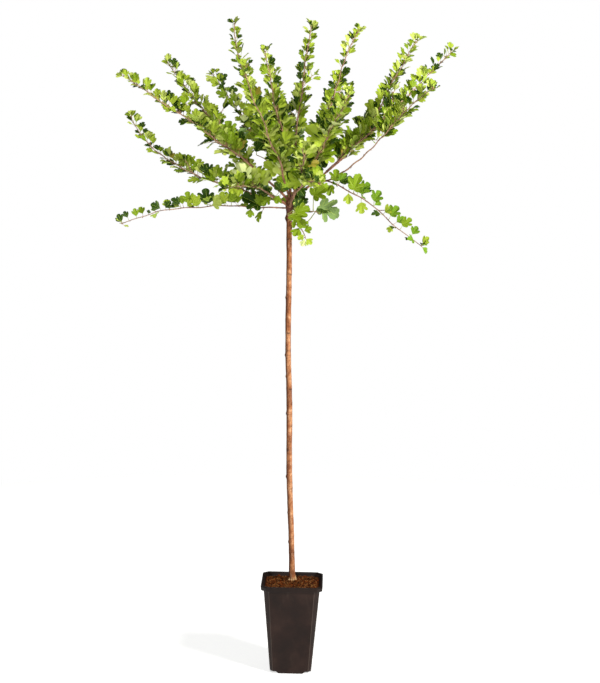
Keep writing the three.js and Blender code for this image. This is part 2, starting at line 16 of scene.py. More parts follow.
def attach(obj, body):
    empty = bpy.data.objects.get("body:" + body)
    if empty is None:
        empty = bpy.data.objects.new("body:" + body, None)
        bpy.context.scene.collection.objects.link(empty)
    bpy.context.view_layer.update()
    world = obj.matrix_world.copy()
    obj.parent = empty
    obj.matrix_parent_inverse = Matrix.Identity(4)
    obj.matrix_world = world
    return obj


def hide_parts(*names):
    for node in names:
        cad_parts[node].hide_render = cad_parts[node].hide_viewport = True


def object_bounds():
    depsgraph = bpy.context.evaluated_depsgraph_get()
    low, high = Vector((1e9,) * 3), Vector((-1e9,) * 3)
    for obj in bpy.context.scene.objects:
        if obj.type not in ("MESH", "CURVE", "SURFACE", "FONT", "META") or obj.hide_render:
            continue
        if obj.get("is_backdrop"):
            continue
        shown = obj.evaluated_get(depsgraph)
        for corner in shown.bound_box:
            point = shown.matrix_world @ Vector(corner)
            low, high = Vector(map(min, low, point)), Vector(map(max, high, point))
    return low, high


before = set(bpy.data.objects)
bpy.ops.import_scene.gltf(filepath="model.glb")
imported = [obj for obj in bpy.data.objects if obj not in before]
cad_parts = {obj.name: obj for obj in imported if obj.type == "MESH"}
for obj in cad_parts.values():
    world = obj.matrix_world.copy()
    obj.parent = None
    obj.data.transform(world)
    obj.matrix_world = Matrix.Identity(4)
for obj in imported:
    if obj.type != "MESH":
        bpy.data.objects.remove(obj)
CAD_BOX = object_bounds()
BODY = "root"

# ---------------------------------------------------------------- sizes of the frame's parts

POT = {
    "height": 0.222,
    "rim": 0.150,  # width over the rim
    "band": 0.012,  # height of the thick band round the rim
    "band_taper": 0.002,  # how much narrower the band is at its lower edge
    "body_top": 0.138,  # width of the body just under the band
    "foot": 0.100,
    "wall": 0.002,
    "floor": 0.003,
    "corner_top": 0.013,  # chamfer of the corners at the rim
    "corner_foot": 0.007,
    "drain_height": 0.005,  # how far the bottom corners are raised
    "drain_from": 0.58,  # share of half a side where the raised corner begins
    "drain_to": 0.72,  # and where it has its full height
    "bow": 0.0007,  # how far the flexible sides are drawn in at their middles
}

SOIL = {
    "below_rim": 0.008,
    "mound": 0.003,
    "mound_radius": 0.034,
    "mound_top": 0.012,  # radius of the flat round the stem
    "lump": 0.0016,
    "lump_scale": 70,
    "lump_level": 3,  # where its noise is read
    "lump_noise": (0.9, 2.1, 5),  # how much weaker and finer each of its layers is, and how many
    "sunk": 0.0006,
    "gap": 0.0002,  # to the pot's wall
    "rings": 40,
}

TRUNK = {
    "foot": np.array([0.0, 0.018, POT["height"] - SOIL["below_rim"] + SOIL["mound"]]),
    "fork": 1.152,
    "lean": -0.022,
    "foot_radius": 0.0088,
    "flare": 0.026,
    "flare_fade": 1.6,
    "radius": 0.0071,
    "fork_radius": 0.0067,
    "graft": 1.136,  # height of the swollen graft union
    "graft_swell": 0.0026,
    "graft_spread": 0.016,
    "waviness": 0.0013,
    "wave_x": 17,
    "wave_y": 13,
    "offcut": 0.010,
    "sides": 40,
    "step": 0.0016,
}

LIMB = {
    "main_radius": 0.0038,
    "side_radius": 0.0027,
    "weak_radius": 0.0021,  # of a shoot that droops
    "heart_radius": 0.0016,
    "tip_radius": 0.0009,
    "taper": 0.45,
    "pull": 0.36,
    "bow": 0.0025,
    "bow_length": 0.150,
    "bow_lift": 0.6,
    "zigzag": 0.0009,
    "ease_ends": 6,
    "sides": 10,
    "step": 0.0022,
}

# The rule that places the leaves, as the solids have it.
LEAF = {
    "large": 0.056,
    "small": 0.024,
    "fade": 0.9,
    "shortest": 0.8,
    "longest": 1.15,
    "lobed_from": 0.029,
    "forward": 0.62,
    "spread": 1.0,
    "lift": 0.45,
    "droop": -0.5,
    "light": 0.8,
    "face_forward": 0.35,
    "face_scatter": 1.3,
    "face_lean": np.array([0.5, 0.7, 0.5]),  # what is taken from its draws, most along Y
    "middle": 0.3,  # from the stem along the blade
    "sunk": 1.2,
    "tries": 6,
    "shrink": 0.88,
    "turn": 137.5,
    "tip_cluster": 3,
}

TWIG = {
    "every": 4,
    "until": 0.6,
    "longest": 0.046,
    "shortest": 0.020,
    "radius": 0.0013,
    "tip_radius": 0.0008,
    "forward": 0.8,
    "spread": 0.9,
    "sag": 0.06,
    "sunk": 0.6,
    "leaves": 2,
    "leaf_size": 0.85,
    "last_node": 0.93,
}

# How far leaves keep from limbs and from each other, the solids' ones and the real ones.
SPACE = {
    "step": 0.008,
    "margin": 0.0012,
    "leaf_gap": 0.0024,
    "real_margin": 0.0004,
    "same_node": 0.001,  # leaves whose nodes are nearer than this may meet at their feet
}

# How far a mass starts past the end of its bough, and ends before its tip.
MASS_ENDS = {"clear": 0.0003, "tip": 0.002}

# name, on, start, azimuth, reach, rise, leave, arrive, swing, bare, gap between leaf nodes
SHOOTS = [
    ("centre", "trunk", 1.150, 27, 0.050, 0.414, 85, 81, 0, 0.24, 0.023),
    ("right_mid", "trunk", 1.144, 5, 0.382, 0.364, 38, 42, 26, 0.27, 0.023),
    ("left_high", "trunk", 1.146, -158, 0.411, 0.284, 36, 33, -26, 0.3, 0.023),
    ("left_mid", "trunk", 1.138, 167, 0.405, 0.206, 14, 66, 26, 0.18, 0.023),
    ("right_tall", "trunk", 1.148, -35, 0.190, 0.396, 32, 59, 12, 0.24, 0.023),
    ("back_low", "trunk", 1.146, 78, 0.370, 0.215, 35, 50, 15, 0.24, 0.025),
    ("front_low", "trunk", 1.142, -84, 0.345, 0.127, 30, 20, -8, 0.45, 0.026),
    ("left_low", "trunk", 1.130, -164, 0.405, -0.040, 1, -24, -12, 0.12, 0.034),
    ("right_low", "right_mid", 0.17, -23, 0.266, -0.151, -10, -30, -5, 0.1, 0.034),
    ("back_low_left", "trunk", 1.136, 118, 0.350, 0.150, 20, 35, -12, 0.25, 0.026),
    ("back_low_right", "trunk", 1.132, 74, 0.325, 0.118, 25, 5, -8, 0.25, 0.026),
    ("front_low_left", "trunk", 1.132, -117, 0.300, 0.046, 25, -10, 6, 0.42, 0.028),
    ("front_low_right", "trunk", 1.130, -74, 0.275, 0.062, 20, -15, 8, 0.42, 0.028),
    ("leader", "centre", 0.05, 139, 0.195, 0.404, 74, 84, -26, 0.26, 0.023),
    ("front_left", "trunk", 1.149, -108, 0.300, 0.279, 46, 55, -8, 0.2, 0.025),
    ("centre_left", "centre", 0.1, -113, 0.155, 0.300, 66, 73, -6, 0.16, 0.023),
    ("left_inner", "left_high", 0.26, 133, 0.340, 0.257, 43, 24, -22, 0.1, 0.023),
    ("right_inner", "right_mid", 0.22, 42, 0.295, 0.325, 36, 30, 20, 0.08, 0.023),
    ("right_outer", "right_mid", 0.12, -31, 0.324, 0.226, 12, 18, -22, 0.5, 0.022),
    ("front_right", "right_tall", 0.2, -71, 0.280, 0.180, 32, 31, 0, 0.14, 0.025),
    ("back_left", "leader", 0.15, 126, 0.320, 0.222, 20, 40, 7, 0.12, 0.025),
    ("back_mid", "leader", 0.23, 93, 0.270, 0.200, 5, 70, 18, 0.12, 0.025),
    ("back_right", "centre", 0.2, 61, 0.270, 0.190, 30, 65, 20, 0.1, 0.025),
    ("heart_right", "trunk", 1.114, -36, 0.088, 0.006, 25, -20, 0, 0, 0.026),
    ("heart_front", "trunk", 1.108, -92, 0.060, 0.008, 25, -10, 0, 0, 0.025),
    ("heart_left", "left_mid", 0.14, -150, 0.060, 0.034, 30, 40, 0, 0, 0.025),
    ("heart_back", "trunk", 1.108, 88, 0.080, 0.012, 25, 0, 0, 0, 0.026),
    ("heart_top", "centre", 0.12, -68, 0.074, 0.042, 40, 20, 0, 0, 0.024),
    ("heart_top_left", "centre", 0.1, 178, 0.084, 0.064, 50, 30, 0, 0, 0.026),
    ("heart_top_right", "centre", 0.13, 32, 0.074, 0.062, 45, 30, 0, 0, 0.026),
    ("hanging", "trunk", 1.098, -24, 0.044, -0.040, 0, -75, 0, 0, 0.020),
]

# ---------------------------------------------------------------- sizes of the looks alone

# Knots and bud scars on the stem, with painted shade under them: height, azimuth, size, and how
# dark the mark under each is.
KNOTS = [
    (1.106, 190, 0.0042, 0.9), (1.084, -42, 0.0024, 0.9), (1.057, -108, 0.0021, 1.0),
    (1.041, -60, 0.0012, 0.5), (0.972, -48, 0.0020, 0.9), (0.941, -50, 0.0012, 0.5),
    (0.915, 216, 0.0024, 1.0), (0.830, -78, 0.0022, 1.0), (0.775, 208, 0.0025, 0.9),
    (0.723, 202, 0.0018, 0.7), (0.693, -66, 0.0021, 0.9), (0.656, -45, 0.0016, 0.6),
    (0.632, 210, 0.0025, 1.0), (0.602, -48, 0.0018, 0.8), (0.543, -112, 0.0023, 0.9),
    (0.476, 206, 0.0025, 1.0), (0.447, -50, 0.0018, 0.8), (0.386, -150, 0.0018, 0.9),
    (0.359, -80, 0.0012, 0.4), (0.313, 204, 0.0020, 0.7), (0.287, -46, 0.0019, 0.8),
    (0.940, 92, 0.0019, 0.7), (0.860, 120, 0.0022, 0.8), (0.740, 62, 0.0020, 0.8),
    (0.580, 96, 0.0022, 0.8), (0.500, 40, 0.0018, 0.6), (0.410, 118, 0.0021, 0.8),
    (0.330, 76, 0.0018, 0.7),
]

# Half outlines of the leaves, from the stalk to the tip, for a blade one unit long. The third
# value marks the end of a vein.
BROAD = {
    "hub": 0.12,
    "half": [
        (0, 0, 0), (-0.06, 0.10, 0), (-0.05, 0.22, 0), (-0.01, 0.31, 0), (0.05, 0.36, 0),
        (0.10, 0.40, 1), (0.19, 0.41, 0), (0.26, 0.36, 0), (0.27, 0.28, 0), (0.35, 0.39, 0),
        (0.41, 0.48, 0), (0.48, 0.50, 0), (0.55, 0.56, 1), (0.63, 0.52, 0), (0.66, 0.45, 0),
        (0.62, 0.35, 0), (0.49, 0.17, 0), (0.62, 0.22, 0), (0.72, 0.29, 0), (0.79, 0.26, 0),
        (0.87, 0.27, 0), (0.92, 0.20, 0), (0.92, 0.13, 0), (0.99, 0.08, 0), (1, 0, 1),
    ],
}
LOBED = {
    "hub": 0.1,
    "half": [
        (0, 0, 0), (0.04, 0.13, 0), (0.12, 0.25, 0), (0.19, 0.34, 0), (0.28, 0.38, 1),
        (0.37, 0.36, 0), (0.42, 0.32, 0), (0.50, 0.42, 0), (0.58, 0.46, 0), (0.66, 0.50, 1),
        (0.74, 0.46, 0), (0.77, 0.37, 0), (0.71, 0.28, 0), (0.60, 0.17, 0), (0.70, 0.20, 0),
        (0.79, 0.22, 0), (0.87, 0.23, 0), (0.94, 0.18, 0), (0.98, 0.10, 0), (1, 0, 1),
    ],
}
FAN = {
    "hub": 0.1,
    "half": [
        (0, 0, 0), (0.10, 0.09, 0), (0.22, 0.22, 0), (0.34, 0.34, 0), (0.46, 0.44, 0),
        (0.57, 0.45, 0), (0.66, 0.49, 1), (0.75, 0.44, 0), (0.77, 0.34, 0), (0.68, 0.21, 0),
        (0.78, 0.24, 0), (0.88, 0.25, 0), (0.94, 0.17, 0), (1.0, 0.09, 0), (1, 0, 1),
    ],
}

BLADE = {
    "thickness": 0.00045,
    "vein_width": 0.012,  # half the width of a vein at its foot, as a share of the blade
    "vein_taper": 0.75,
    "broad_from": 0.038,  # blades longer than this are broad
    "fan_below": 0.027,  # and those shorter than this are wedges with three lobes
    "fold": (0.05, 0.42),  # how steeply the halves rise from the midrib
    "arch": (-0.15, 0.4),  # how far the tip bends down
    "puff": (0.05, 0.14),  # how far the blade rises between its veins
    "wave": 0.06,  # how far the rim rises and falls
    "waves": 3,
    "arch_from": 0.1,
    "wider": (0.94, 1.2),
    "skew": 0.16,
    "tested": (0.15, 0.4, 0.7, 1),  # shares of it that have to keep clear of other limbs
}

STALK = {
    "length": (0.2, 0.6),  # as a share of the blade
    "long": (0.22, 0.45),  # on the sparse shoots
    "thinnest": 0.0005,
    "thickness": 0.022,  # as a share of the blade
    "sag": 0.08,
    "taper": (1.3, 1.0, 0.7),
    "under": 0.06,  # how far it runs on under the blade
    "sides": 4,
}

# The leaves of a spray: size against its largest one, and turn round the shoot.
SPRAYS = {
    "full": [(1, 0), (0.8, 110), (0.66, 235)],
    "sparse": [(1, 0), (0.62, 100)],
    "between": [(0.94, 0), (0.74, 125)],
    "tip": [(0.9, 0), (0.7, 80)],
    "late": [(0.95, 0)],
}
# The largest leaf of a spray where the solids' leaf is the smallest and the largest they have.
REAL = {"full": (0.0165, 0.036), "sparse": (0.020, 0.033)}
BETWEEN = {"full": 4, "sparse": 2}  # smaller sprays stand between the nodes
LATE = 0.72  # and from this share on single leaves
SPARSE = {"left_low", "right_low"}  # shoots with single leaves on long stalks
SPARSE_FROM = {"left_low": 0.95, "right_low": 0.84}  # they have sprays from this share on
# Single leaves that stand apart, by shoot: share of the shoot, way and length of the stalk, way of
# the blade, way that its face looks, length, tone. The short shoots at the heart have no others.
# Their darkest leaves stand partly as painted shade.
LONE = {
    "hanging": [
        (0.55, (0.63, -0.1, 0.77), 0.072, (0.86, -0.1, -0.5), (0.1, -1, 0.3), 0.053, "bluish"),
        (0.35, (0.7, -0.6, 0.2), 0.012, (0.9, -0.2, 0.2), (0.1, -0.95, 0.3), 0.02, "green"),
        (0.5, (-0.2, -0.6, -0.2), 0.004, (-0.3, -0.3, -0.6), (-0.3, -0.9, 0.2), 0.026, "green"),
        (0.7, (0.5, -0.5, 0.3), 0.006, (0.8, -0.3, 0.3), (-0.2, -0.9, 0.3), 0.02, "green"),
        (0.85, (-0.3, -0.5, 0.1), 0.004, (-0.6, -0.2, -0.5), (-0.3, -0.9, 0.2), 0.018, "bright"),
        (1, (0.2, -0.3, 0), 0.003, (0.6, -0.2, -0.5), (0.1, -0.95, 0.1), 0.018, "bright"),
        (1, (-0.2, -0.3, -0.2), 0.003, (-0.4, -0.2, -0.9), (0.1, 0.95, 0.1), 0.018, "bright"),
    ],
    "heart_right": [
        (0.1, (0.5, -0.8, 0.3), 0.012, (0.55, -0.35, -0.75), (-0.5, -0.8, 0.1), 0.046, "green"),
        (0.8, (0, -0.3, 1), 0.038, (0.62, -0.3, 0.5), (-0.1, -0.9, 0.3), 0.044, "green"),
        (0.3, (0.2, 0.1, 1), 0.012, (0.3, 0.2, 0.9), (0, -0.9, 0.4), 0.036, "deep_and_shaded"),
        (0.5, (0.2, 0.4, -0.2), 0.01, (0.3, 0.8, 0.1), (0.1, -0.3, 0.9), 0.04, "deep_and_shaded"),
        (1, (0.3, 0.6, 0.4), 0.008, (0.5, 0.8, 0.3), (0.1, -0.4, 0.9), 0.03, "deep_and_shaded"),
        (0.42, (0.42, 0.71, 0.57), 0.008, (-0.09, -0.29, 0.95), (0.8, -0.55, 0.2), 0.034, "spring"),
    ],
    "heart_front": [
        (0.3, (0.8, -0.3, 0.5), 0.024, (0.15, -0.25, 0.95), (0.75, -0.6, 0.2), 0.032, "spring"),
        (0.55, (0.7, -0.3, 0.6), 0.026, (0.5, 0.1, 0.8), (0.2, -0.8, 0.5), 0.036, "deep_and_shaded"),
        (0.8, (0.9, -0.2, 0.2), 0.02, (0.9, -0.2, 0.35), (0, -0.9, 0.45), 0.036, "green"),
        (1, (0.4, -0.5, -0.2), 0.008, (0.6, -0.5, -0.3), (0, -0.6, 0.8), 0.034, "green"),
    ],
    "heart_back": [
        (0.5, (0.4, 0.5, 0.3), 0.012, (0.6, 0.4, 0.6), (0.1, -0.5, 0.8), 0.044, "deep_and_shaded"),
        (0.75, (0.5, 0.4, 0.1), 0.012, (0.9, 0.3, 0.1), (0.1, 0.5, 0.8), 0.04, "green"),
        (1, (0.2, 0.9, 0.2), 0.012, (0.3, 0.9, 0.2), (0.1, -0.2, 1), 0.046, "bright"),
        (0.9, (-0.1, 0.5, 0.8), 0.01, (-0.1, 0.6, 0.8), (0.1, -0.8, 0.5), 0.038, "green"),
    ],
    "heart_left": [
        (1, (0, -0.4, 0.8), 0.008, (-0.3, -0.25, 0.9), (0.3, 0.8, 0.4), 0.05, "bright"),
        (0.9, (-0.3, -0.4, 0.1), 0.006, (-0.7, -0.3, 0.3), (0, -0.9, 0.4), 0.034, "green"),
        (0.4, (0.1, -0.4, 0.7), 0.01, (0.1, -0.3, 0.95), (0.3, -0.8, 0.5), 0.036, "deep_and_shaded"),
        (0.15, (0.3, -0.6, 0.3), 0.01, (0.5, -0.3, 0.6), (0, -0.9, 0.4), 0.026, "spring"),
    ],
    "heart_top_left": [
        (0.38, (-0.2, -0.6, 0.3), 0.01, (-0.3, -0.25, 0.92), (0.1, 0.85, 0.4), 0.048, "spring"),
        (0.15, (-0.3, -0.6, 0.1), 0.01, (-0.5, -0.3, -0.6), (0, -0.9, 0.3), 0.034, "bright"),
        (0.65, (0.1, 0.5, 0.6), 0.012, (0.3, 0.6, 0.7), (0, -0.5, 0.8), 0.036, "green"),
        (1, (0, -0.3, 0.6), 0.008, (0.1, -0.2, 0.97), (0.6, -0.6, 0.5), 0.036, "deep_and_shaded"),
    ],
    "heart_top_right": [
        (0.75, (0, -0.6, 0.4), 0.012, (0.1, -0.3, 0.95), (0, 0.9, 0.4), 0.03, "spring"),
        (0.95, (0.3, -0.2, -0.5), 0.008, (0.5, -0.2, -0.75), (0.1, -0.9, 0.3), 0.036, "deep_and_shaded"),
        (0.4, (0.2, 0.6, 0.4), 0.012, (0.4, 0.7, 0.5), (0, -0.4, 0.9), 0.038, "green"),
        (1, (0.3, 0.1, 0.6), 0.008, (0.6, 0.1, 0.75), (0.1, -0.8, 0.5), 0.034, "bright"),
    ],
    "heart_top": [
        (0.25, (-0.2, -0.7, 0.2), 0.012, (-0.5, -0.4, -0.5), (0, -0.9, 0.45), 0.036, "deep_and_shaded"),
        (0.5, (0.1, -0.7, 0.2), 0.012, (0.4, -0.4, -0.6), (0.1, -0.9, 0.4), 0.036, "deep_and_shaded"),
        (0.75, (0.2, -0.6, 0.3), 0.012, (0.8, -0.3, -0.1), (0, -0.9, 0.4), 0.034, "green"),
        (1, (0, -0.6, 0.3), 0.006, (-0.2, -0.5, 0.8), (0, -0.8, 0.5), 0.034, "bright"),
    ],
    "front_low_left": [
        (0.66, (0, -0.3, 0.8), 0.01, (-0.3, -0.25, 0.9), (0.3, 0.8, 0.4), 0.046, "bright"),
        (0.23, (-0.79, 0.53, 0.31), 0.015, (-0.62, -0.3, 0.73), (0.1, -0.9, 0.4), 0.033, "deep_and_shaded"),
        (0.23, (-0.78, 0.62, 0.12), 0.013, (-0.49, -0.34, -0.8), (-0.2, -0.9, 0.3), 0.029, "green"),
        (0.19, (0.62, -0.24, 0.74), 0.011, (-0.32, -0.41, -0.85), (0.2, -0.9, 0.3), 0.024, "green"),
        (0.23, (0.71, -0.09, 0.7), 0.024, (-0.59, -0.41, 0.7), (0, -0.9, 0.4), 0.024, "deep_and_shaded"),
    ],
    "front_left": [
        (0.21, (-0.75, 0.59, 0.29), 0.015, (0.41, -0.23, 0.88), (0.3, -0.9, 0.3), 0.043, "spring"),
        (0.2, (-0.75, 0.51, 0.43), 0.021, (-0.71, -0.26, 0.65), (-0.2, -0.9, 0.4), 0.039, "bright"),
        (0.11, (0.83, -0.53, -0.15), 0.012, (-0.3, -0.23, 0.92), (-0.2, -0.9, 0.4), 0.044, "deep_and_shaded"),
        (0.11, (1, -0.09, 0), 0.014, (0.57, -0.24, 0.79), (0.2, -0.9, 0.4), 0.041, "deep_and_shaded"),
        (0.11, (0.83, 0.24, 0.5), 0.015, (0.11, -0.22, 0.97), (0, -0.9, 0.5), 0.045, "green"),
        (0.13, (0.7, -0.6, -0.38), 0.008, (-0.7, -0.29, 0.65), (-0.2, -0.9, 0.4), 0.034, "green"),
    ],
    "left_high": [
        (
            0.22, (-0.77, 0.34, -0.54), 0.04, (0.14, -0.21, 0.97), (0.25, -0.95, 0.2), 0.049,
            "spring",
        ),
    ],
    "right_tall": [
        (0.12, (-0.74, -0.67, -0.07), 0.012, (0.6, -0.38, -0.7), (0.1, -0.9, 0.3), 0.026, "deep_and_shaded"),
        (0.32, (0.65, 0.76, -0.06), 0.019, (0.89, -0.33, -0.32), (0, -0.9, 0.4), 0.03, "bright"),
        (0.28, (-0.29, 0.91, 0.29), 0.024, (-0.23, -0.4, 0.89), (0.2, -0.9, 0.4), 0.025, "spring"),
    ],
    "right_mid": [
        (0.12, (0.51, -0.47, 0.72), 0.005, (-0.48, -0.31, 0.82), (0.2, -0.9, 0.4), 0.032, "green"),
        (0.15, (-0.84, 0.49, 0.23), 0.006, (0.46, -0.25, 0.85), (0.1, -0.9, 0.4), 0.04, "deep_and_shaded"),
    ],
    "centre_left": [
        (0.28, (0, -0.6, 0.4), 0.01, (-0.05, -0.3, 0.95), (0.1, -0.9, 0.45), 0.034, "bright"),
        (0.78, (0.5, -0.7, 0), 0.008, (0.85, -0.3, 0.4), (0.1, -0.9, 0.4), 0.023, "deep_and_shaded"),
        (0.84, (-0.5, -0.7, 0.1), 0.008, (-0.8, -0.3, 0.45), (-0.1, -0.9, 0.4), 0.022, "green"),
        (0.91, (0.4, -0.7, 0.1), 0.007, (0.8, -0.3, 0.5), (0.1, -0.9, 0.4), 0.02, "deep_and_shaded"),
    ],
    "back_left": [
        (0.78, (-0.5, -0.7, 0.1), 0.008, (-0.8, -0.35, 0.4), (-0.1, -0.9, 0.4), 0.028, "green"),
        (0.83, (0.6, -0.6, 0.1), 0.008, (0.9, -0.3, 0.2), (0.1, -0.9, 0.3), 0.026, "deep_and_shaded"),
        (0.89, (-0.6, -0.6, 0.3), 0.008, (-0.85, -0.3, 0.4), (-0.1, -0.9, 0.4), 0.025, "bright"),
        (0.93, (0.5, -0.6, 0.4), 0.008, (0.7, -0.3, 0.6), (0.1, -0.9, 0.3), 0.023, "deep_and_shaded"),
        (0.97, (-0.3, -0.7, 0.2), 0.006, (-0.6, -0.35, -0.4), (0, -0.9, 0.4), 0.024, "spring"),
    ],
    "front_right": [
        (0.4, (-0.3, -0.5, 0.2), 0.01, (-0.62, -0.25, 0.75), (0.1, -0.9, 0.4), 0.052, "bright"),
    ],
    "left_low": [
        (0.18, (-0.1, -0.5, 0.8), 0.008, (-0.85, -0.25, 0.4), (-0.1, -0.9, 0.45), 0.052, "deep_and_shaded"),
        (0.2, (0.2, -0.4, 0.8), 0.008, (0.4, -0.3, 0.8), (0.1, -0.8, 0.5), 0.03, "green"),
        (0.24, (0, -0.3, -0.6), 0.004, (-0.1, -0.25, -0.95), (0, -0.95, 0.1), 0.02, "green"),
        (0.36, (0, -0.3, 0.9), 0.01, (0, -0.25, 0.95), (0.1, -0.9, 0.4), 0.032, "green"),
        (0.38, (-0.3, -0.3, 0.5), 0.008, (-0.8, -0.2, 0.4), (0, -0.8, 0.6), 0.024, "green"),
        (0.5, (0, -0.3, 1), 0.008, (-0.1, -0.2, 0.95), (-0.1, -0.9, 0.4), 0.036, "deep_and_shaded"),
        (0.48, (0.4, -0.3, 0.4), 0.006, (0.9, -0.3, 0.1), (0, -0.95, 0.3), 0.026, "spring"),
        (0.47, (0.2, -0.4, 0.6), 0.008, (0.5, -0.25, 0.7), (0, -0.9, 0.4), 0.024, "spring"),
        (0.55, (0, -0.4, 0.6), 0.006, (-0.4, -0.3, 0.7), (0.1, -0.9, 0.4), 0.03, "bright"),
        (0.6, (0, -0.3, 0.9), 0.012, (-0.2, -0.25, 0.9), (0, -0.9, 0.4), 0.028, "green"),
        (0.62, (0.3, -0.4, 0.3), 0.006, (0.5, -0.3, 0.6), (0, -0.9, 0.4), 0.02, "bright"),
        (0.65, (-0.2, -0.3, 0.8), 0.01, (-0.7, -0.25, 0.5), (0.1, -0.9, 0.4), 0.024, "deep_and_shaded"),
        (0.68, (-0.3, 0.3, 0.3), 0.006, (-0.8, 0.3, 0.3), (0, -0.6, 0.8), 0.018, "deep_and_shaded"),
        (0.745, (0.3, -0.3, 0.6), 0.006, (0.5, -0.25, 0.7), (0.1, -0.9, 0.4), 0.02, "deep_and_shaded"),
        (0.765, (-0.2, -0.3, 0.6), 0.006, (-0.8, -0.25, 0.4), (0, -0.9, 0.4), 0.024, "deep_and_shaded"),
        (0.8, (0, -0.3, 0.7), 0.003, (-0.4, -0.25, 0.7), (0, -0.9, 0.4), 0.012, "green"),
        (0.84, (0, -0.3, 0.8), 0.003, (0.2, -0.25, 0.8), (0, -0.9, 0.4), 0.01, "deep_and_shaded"),
        (0.91, (0, -0.3, 0.8), 0.005, (-0.2, -0.25, 0.9), (0, -0.9, 0.4), 0.019, "green"),
    ],
    "right_low": [
        (0.12, (-0.1, -0.4, -0.7), 0.006, (-0.3, -0.25, -0.9), (-0.3, -0.9, 0.2), 0.028, "green"),
        (0.15, (0, -0.3, 0.9), 0.006, (0, -0.25, 0.95), (0, -0.9, 0.4), 0.032, "green"),
        (0.17, (0.4, 0.1, 0.8), 0.008, (0.85, 0.1, 0.35), (0, -0.8, 0.6), 0.034, "deep_and_shaded"),
        (0.27, (-0.1, -0.4, -0.6), 0.005, (0, -0.25, -0.95), (-0.3, -0.9, 0.1), 0.026, "bright"),
        (0.31, (0.1, -0.3, 0.9), 0.01, (0.3, -0.25, 0.92), (0, -0.9, 0.4), 0.04, "green"),
        (0.34, (0.3, -0.3, 0.8), 0.01, (0.8, -0.25, 0.5), (0, -0.9, 0.4), 0.036, "fresh"),
        (0.5, (0, -0.3, 0.9), 0.014, (0.5, -0.25, 0.8), (0, -0.9, 0.4), 0.03, "fresh"),
        (0.66, (0.4, -0.3, 0.8), 0.012, (0.6, -0.25, 0.75), (0, -0.9, 0.4), 0.03, "fresh"),
        (0.7, (-0.3, -0.3, -0.8), 0.006, (-0.3, -0.25, -0.9), (0, -0.9, 0.3), 0.016, "bright"),
        (0.78, (0.5, -0.3, 0.8), 0.012, (0.7, -0.25, 0.65), (0.1, -0.9, 0.4), 0.027, "green"),
        (0.38, (0, -0.4, -0.8), 0.012, (0.1, -0.25, -0.95), (-0.3, -0.9, 0.2), 0.028, "bright"),
    ],
}
# Shoots with a few sprays on their bare stretch too, from this share of it, so far apart.
CLOTHED = {"centre", "back_low", "back_low_left", "back_low_right"}
CLOTHING = {"from": 0.5, "gap": 0.026}

# How the real leaves stand: upright fans round the shoot, their upper sides turned in to it and
# to the sun.
SUNWARD = np.array([0.25, -0.95, 0.2])
STAND = {
    "forward": 0.42,
    "spread": 0.75,
    "lift": 0.66,
    "light": 0.3,
    "scatter": 0.55,
    "blade_scatter": 0.35,
    "face_forward": 0.4,
    "face_in": 0.5,
    "face_sun": 0.9,
    "face_scatter": 1.1,
    "size_scatter": 0.2,
    "turn_scatter": 16,
    "step": 0.0016,
    "missing": 0.16,  # share of the leaves that have dropped
    "front": 0.55,  # leaves that would point more to the front than this
    "aside": 1.0,  # turn by so much
}

# Colours of the upper sides, and the tone of the smaller leaves in a spray by its largest one's.
TOPS = {
    "spring": (182, 196, 92),
    "bright": (158, 178, 50),
    "green": (122, 148, 22),
    "fresh": (112, 150, 30),
    # The darkest tone: partly darker leaves, partly painted shade.
    "deep_and_shaded": (44, 72, 4),
    "bluish": (122, 148, 84),
    "blush": (150, 136, 46),
}
# A partner of the darkest tone sets a dark leaf beside a bright one, partly as painted shade
# between them.
PARTNERS = {
    "spring": "green",
    "bright": "deep_and_shaded",
    "green": "spring",
    "fresh": "deep_and_shaded",
    "deep_and_shaded": "bright",
    "bluish": "bright",
    "blush": "green",
}
UNDERSIDES = {"pale": (206, 216, 142), "soft": (170, 194, 76)}
STALKS = {"green_stalk": (160, 166, 84), "pink_stalk": (182, 136, 104)}
VEIN = (170, 186, 84)
# The tones that sprays are dealt, by where they stand, and on the two sparse shoots.
DEALT = {
    "inner": ("bluish", "deep_and_shaded", "green", "green"),
    "middle": ("green", "bright", "deep_and_shaded", "bright", "green", "spring"),
    "outer": ("spring", "bright", "green", "deep_and_shaded", "bright"),
    "left_low": ("deep_and_shaded", "green", "bright"),
    "right_low": ("fresh", "fresh", "bright"),
}
INNER, OUTER = 0.35, 0.85  # shares of a shoot
CHANCES = {
    "blush": 0.014,
    "inner": 0.3,  # that a spray in the inner part is dealt an inner tone
    "pale": 0.3,  # that undersides are pale
    "pink": 0.4,  # that stalks are pink
}

# Relief of the bark in layers of noise: how fine across and along, and how high.
STEM_RELIEF = [(160, 14, 0.00045), (420, 26, 0.00028), (60, 40, 0.0004)]
SHOOT_RELIEF = [(420, 120, 0.00022), (1300, 260, 0.0001)]
KNOT = {
    "within": 0.03,  # a knot leaves no mark farther up or down than this
    "width": 1.3,  # this and what follows against its size
    "height": 1.7,
    "rise": 0.85,
    "mark_width": 1.4,
    "mark_height": 0.9,
    "mark_below": 0.6,
    "ridge": 0.00035,  # rise of the ring round the stem at the knot
    "ridge_height": 0.004,
    "ridge_turn": 80,
    "ridge_behind": 0.4,  # share of the ring's rise on the far side
}
GRAFT = {"height": 1.131, "spread": 0.014, "strength": 1.1, "patchy": 0.5, "darkest": 0.85}
GRAFT_NOISE = (200, 60)
SHADED_SIDE = {"side": 192, "patchy": 0.5, "full": 0.9}  # painted shade on the stem's darker side, how uneven it is
STEM_ENDS = {"foot": 0.6, "crest": 0.6}  # shares of the offcut and of the radius at the fork
SHADED_SIDE_NOISE = (300, 30)
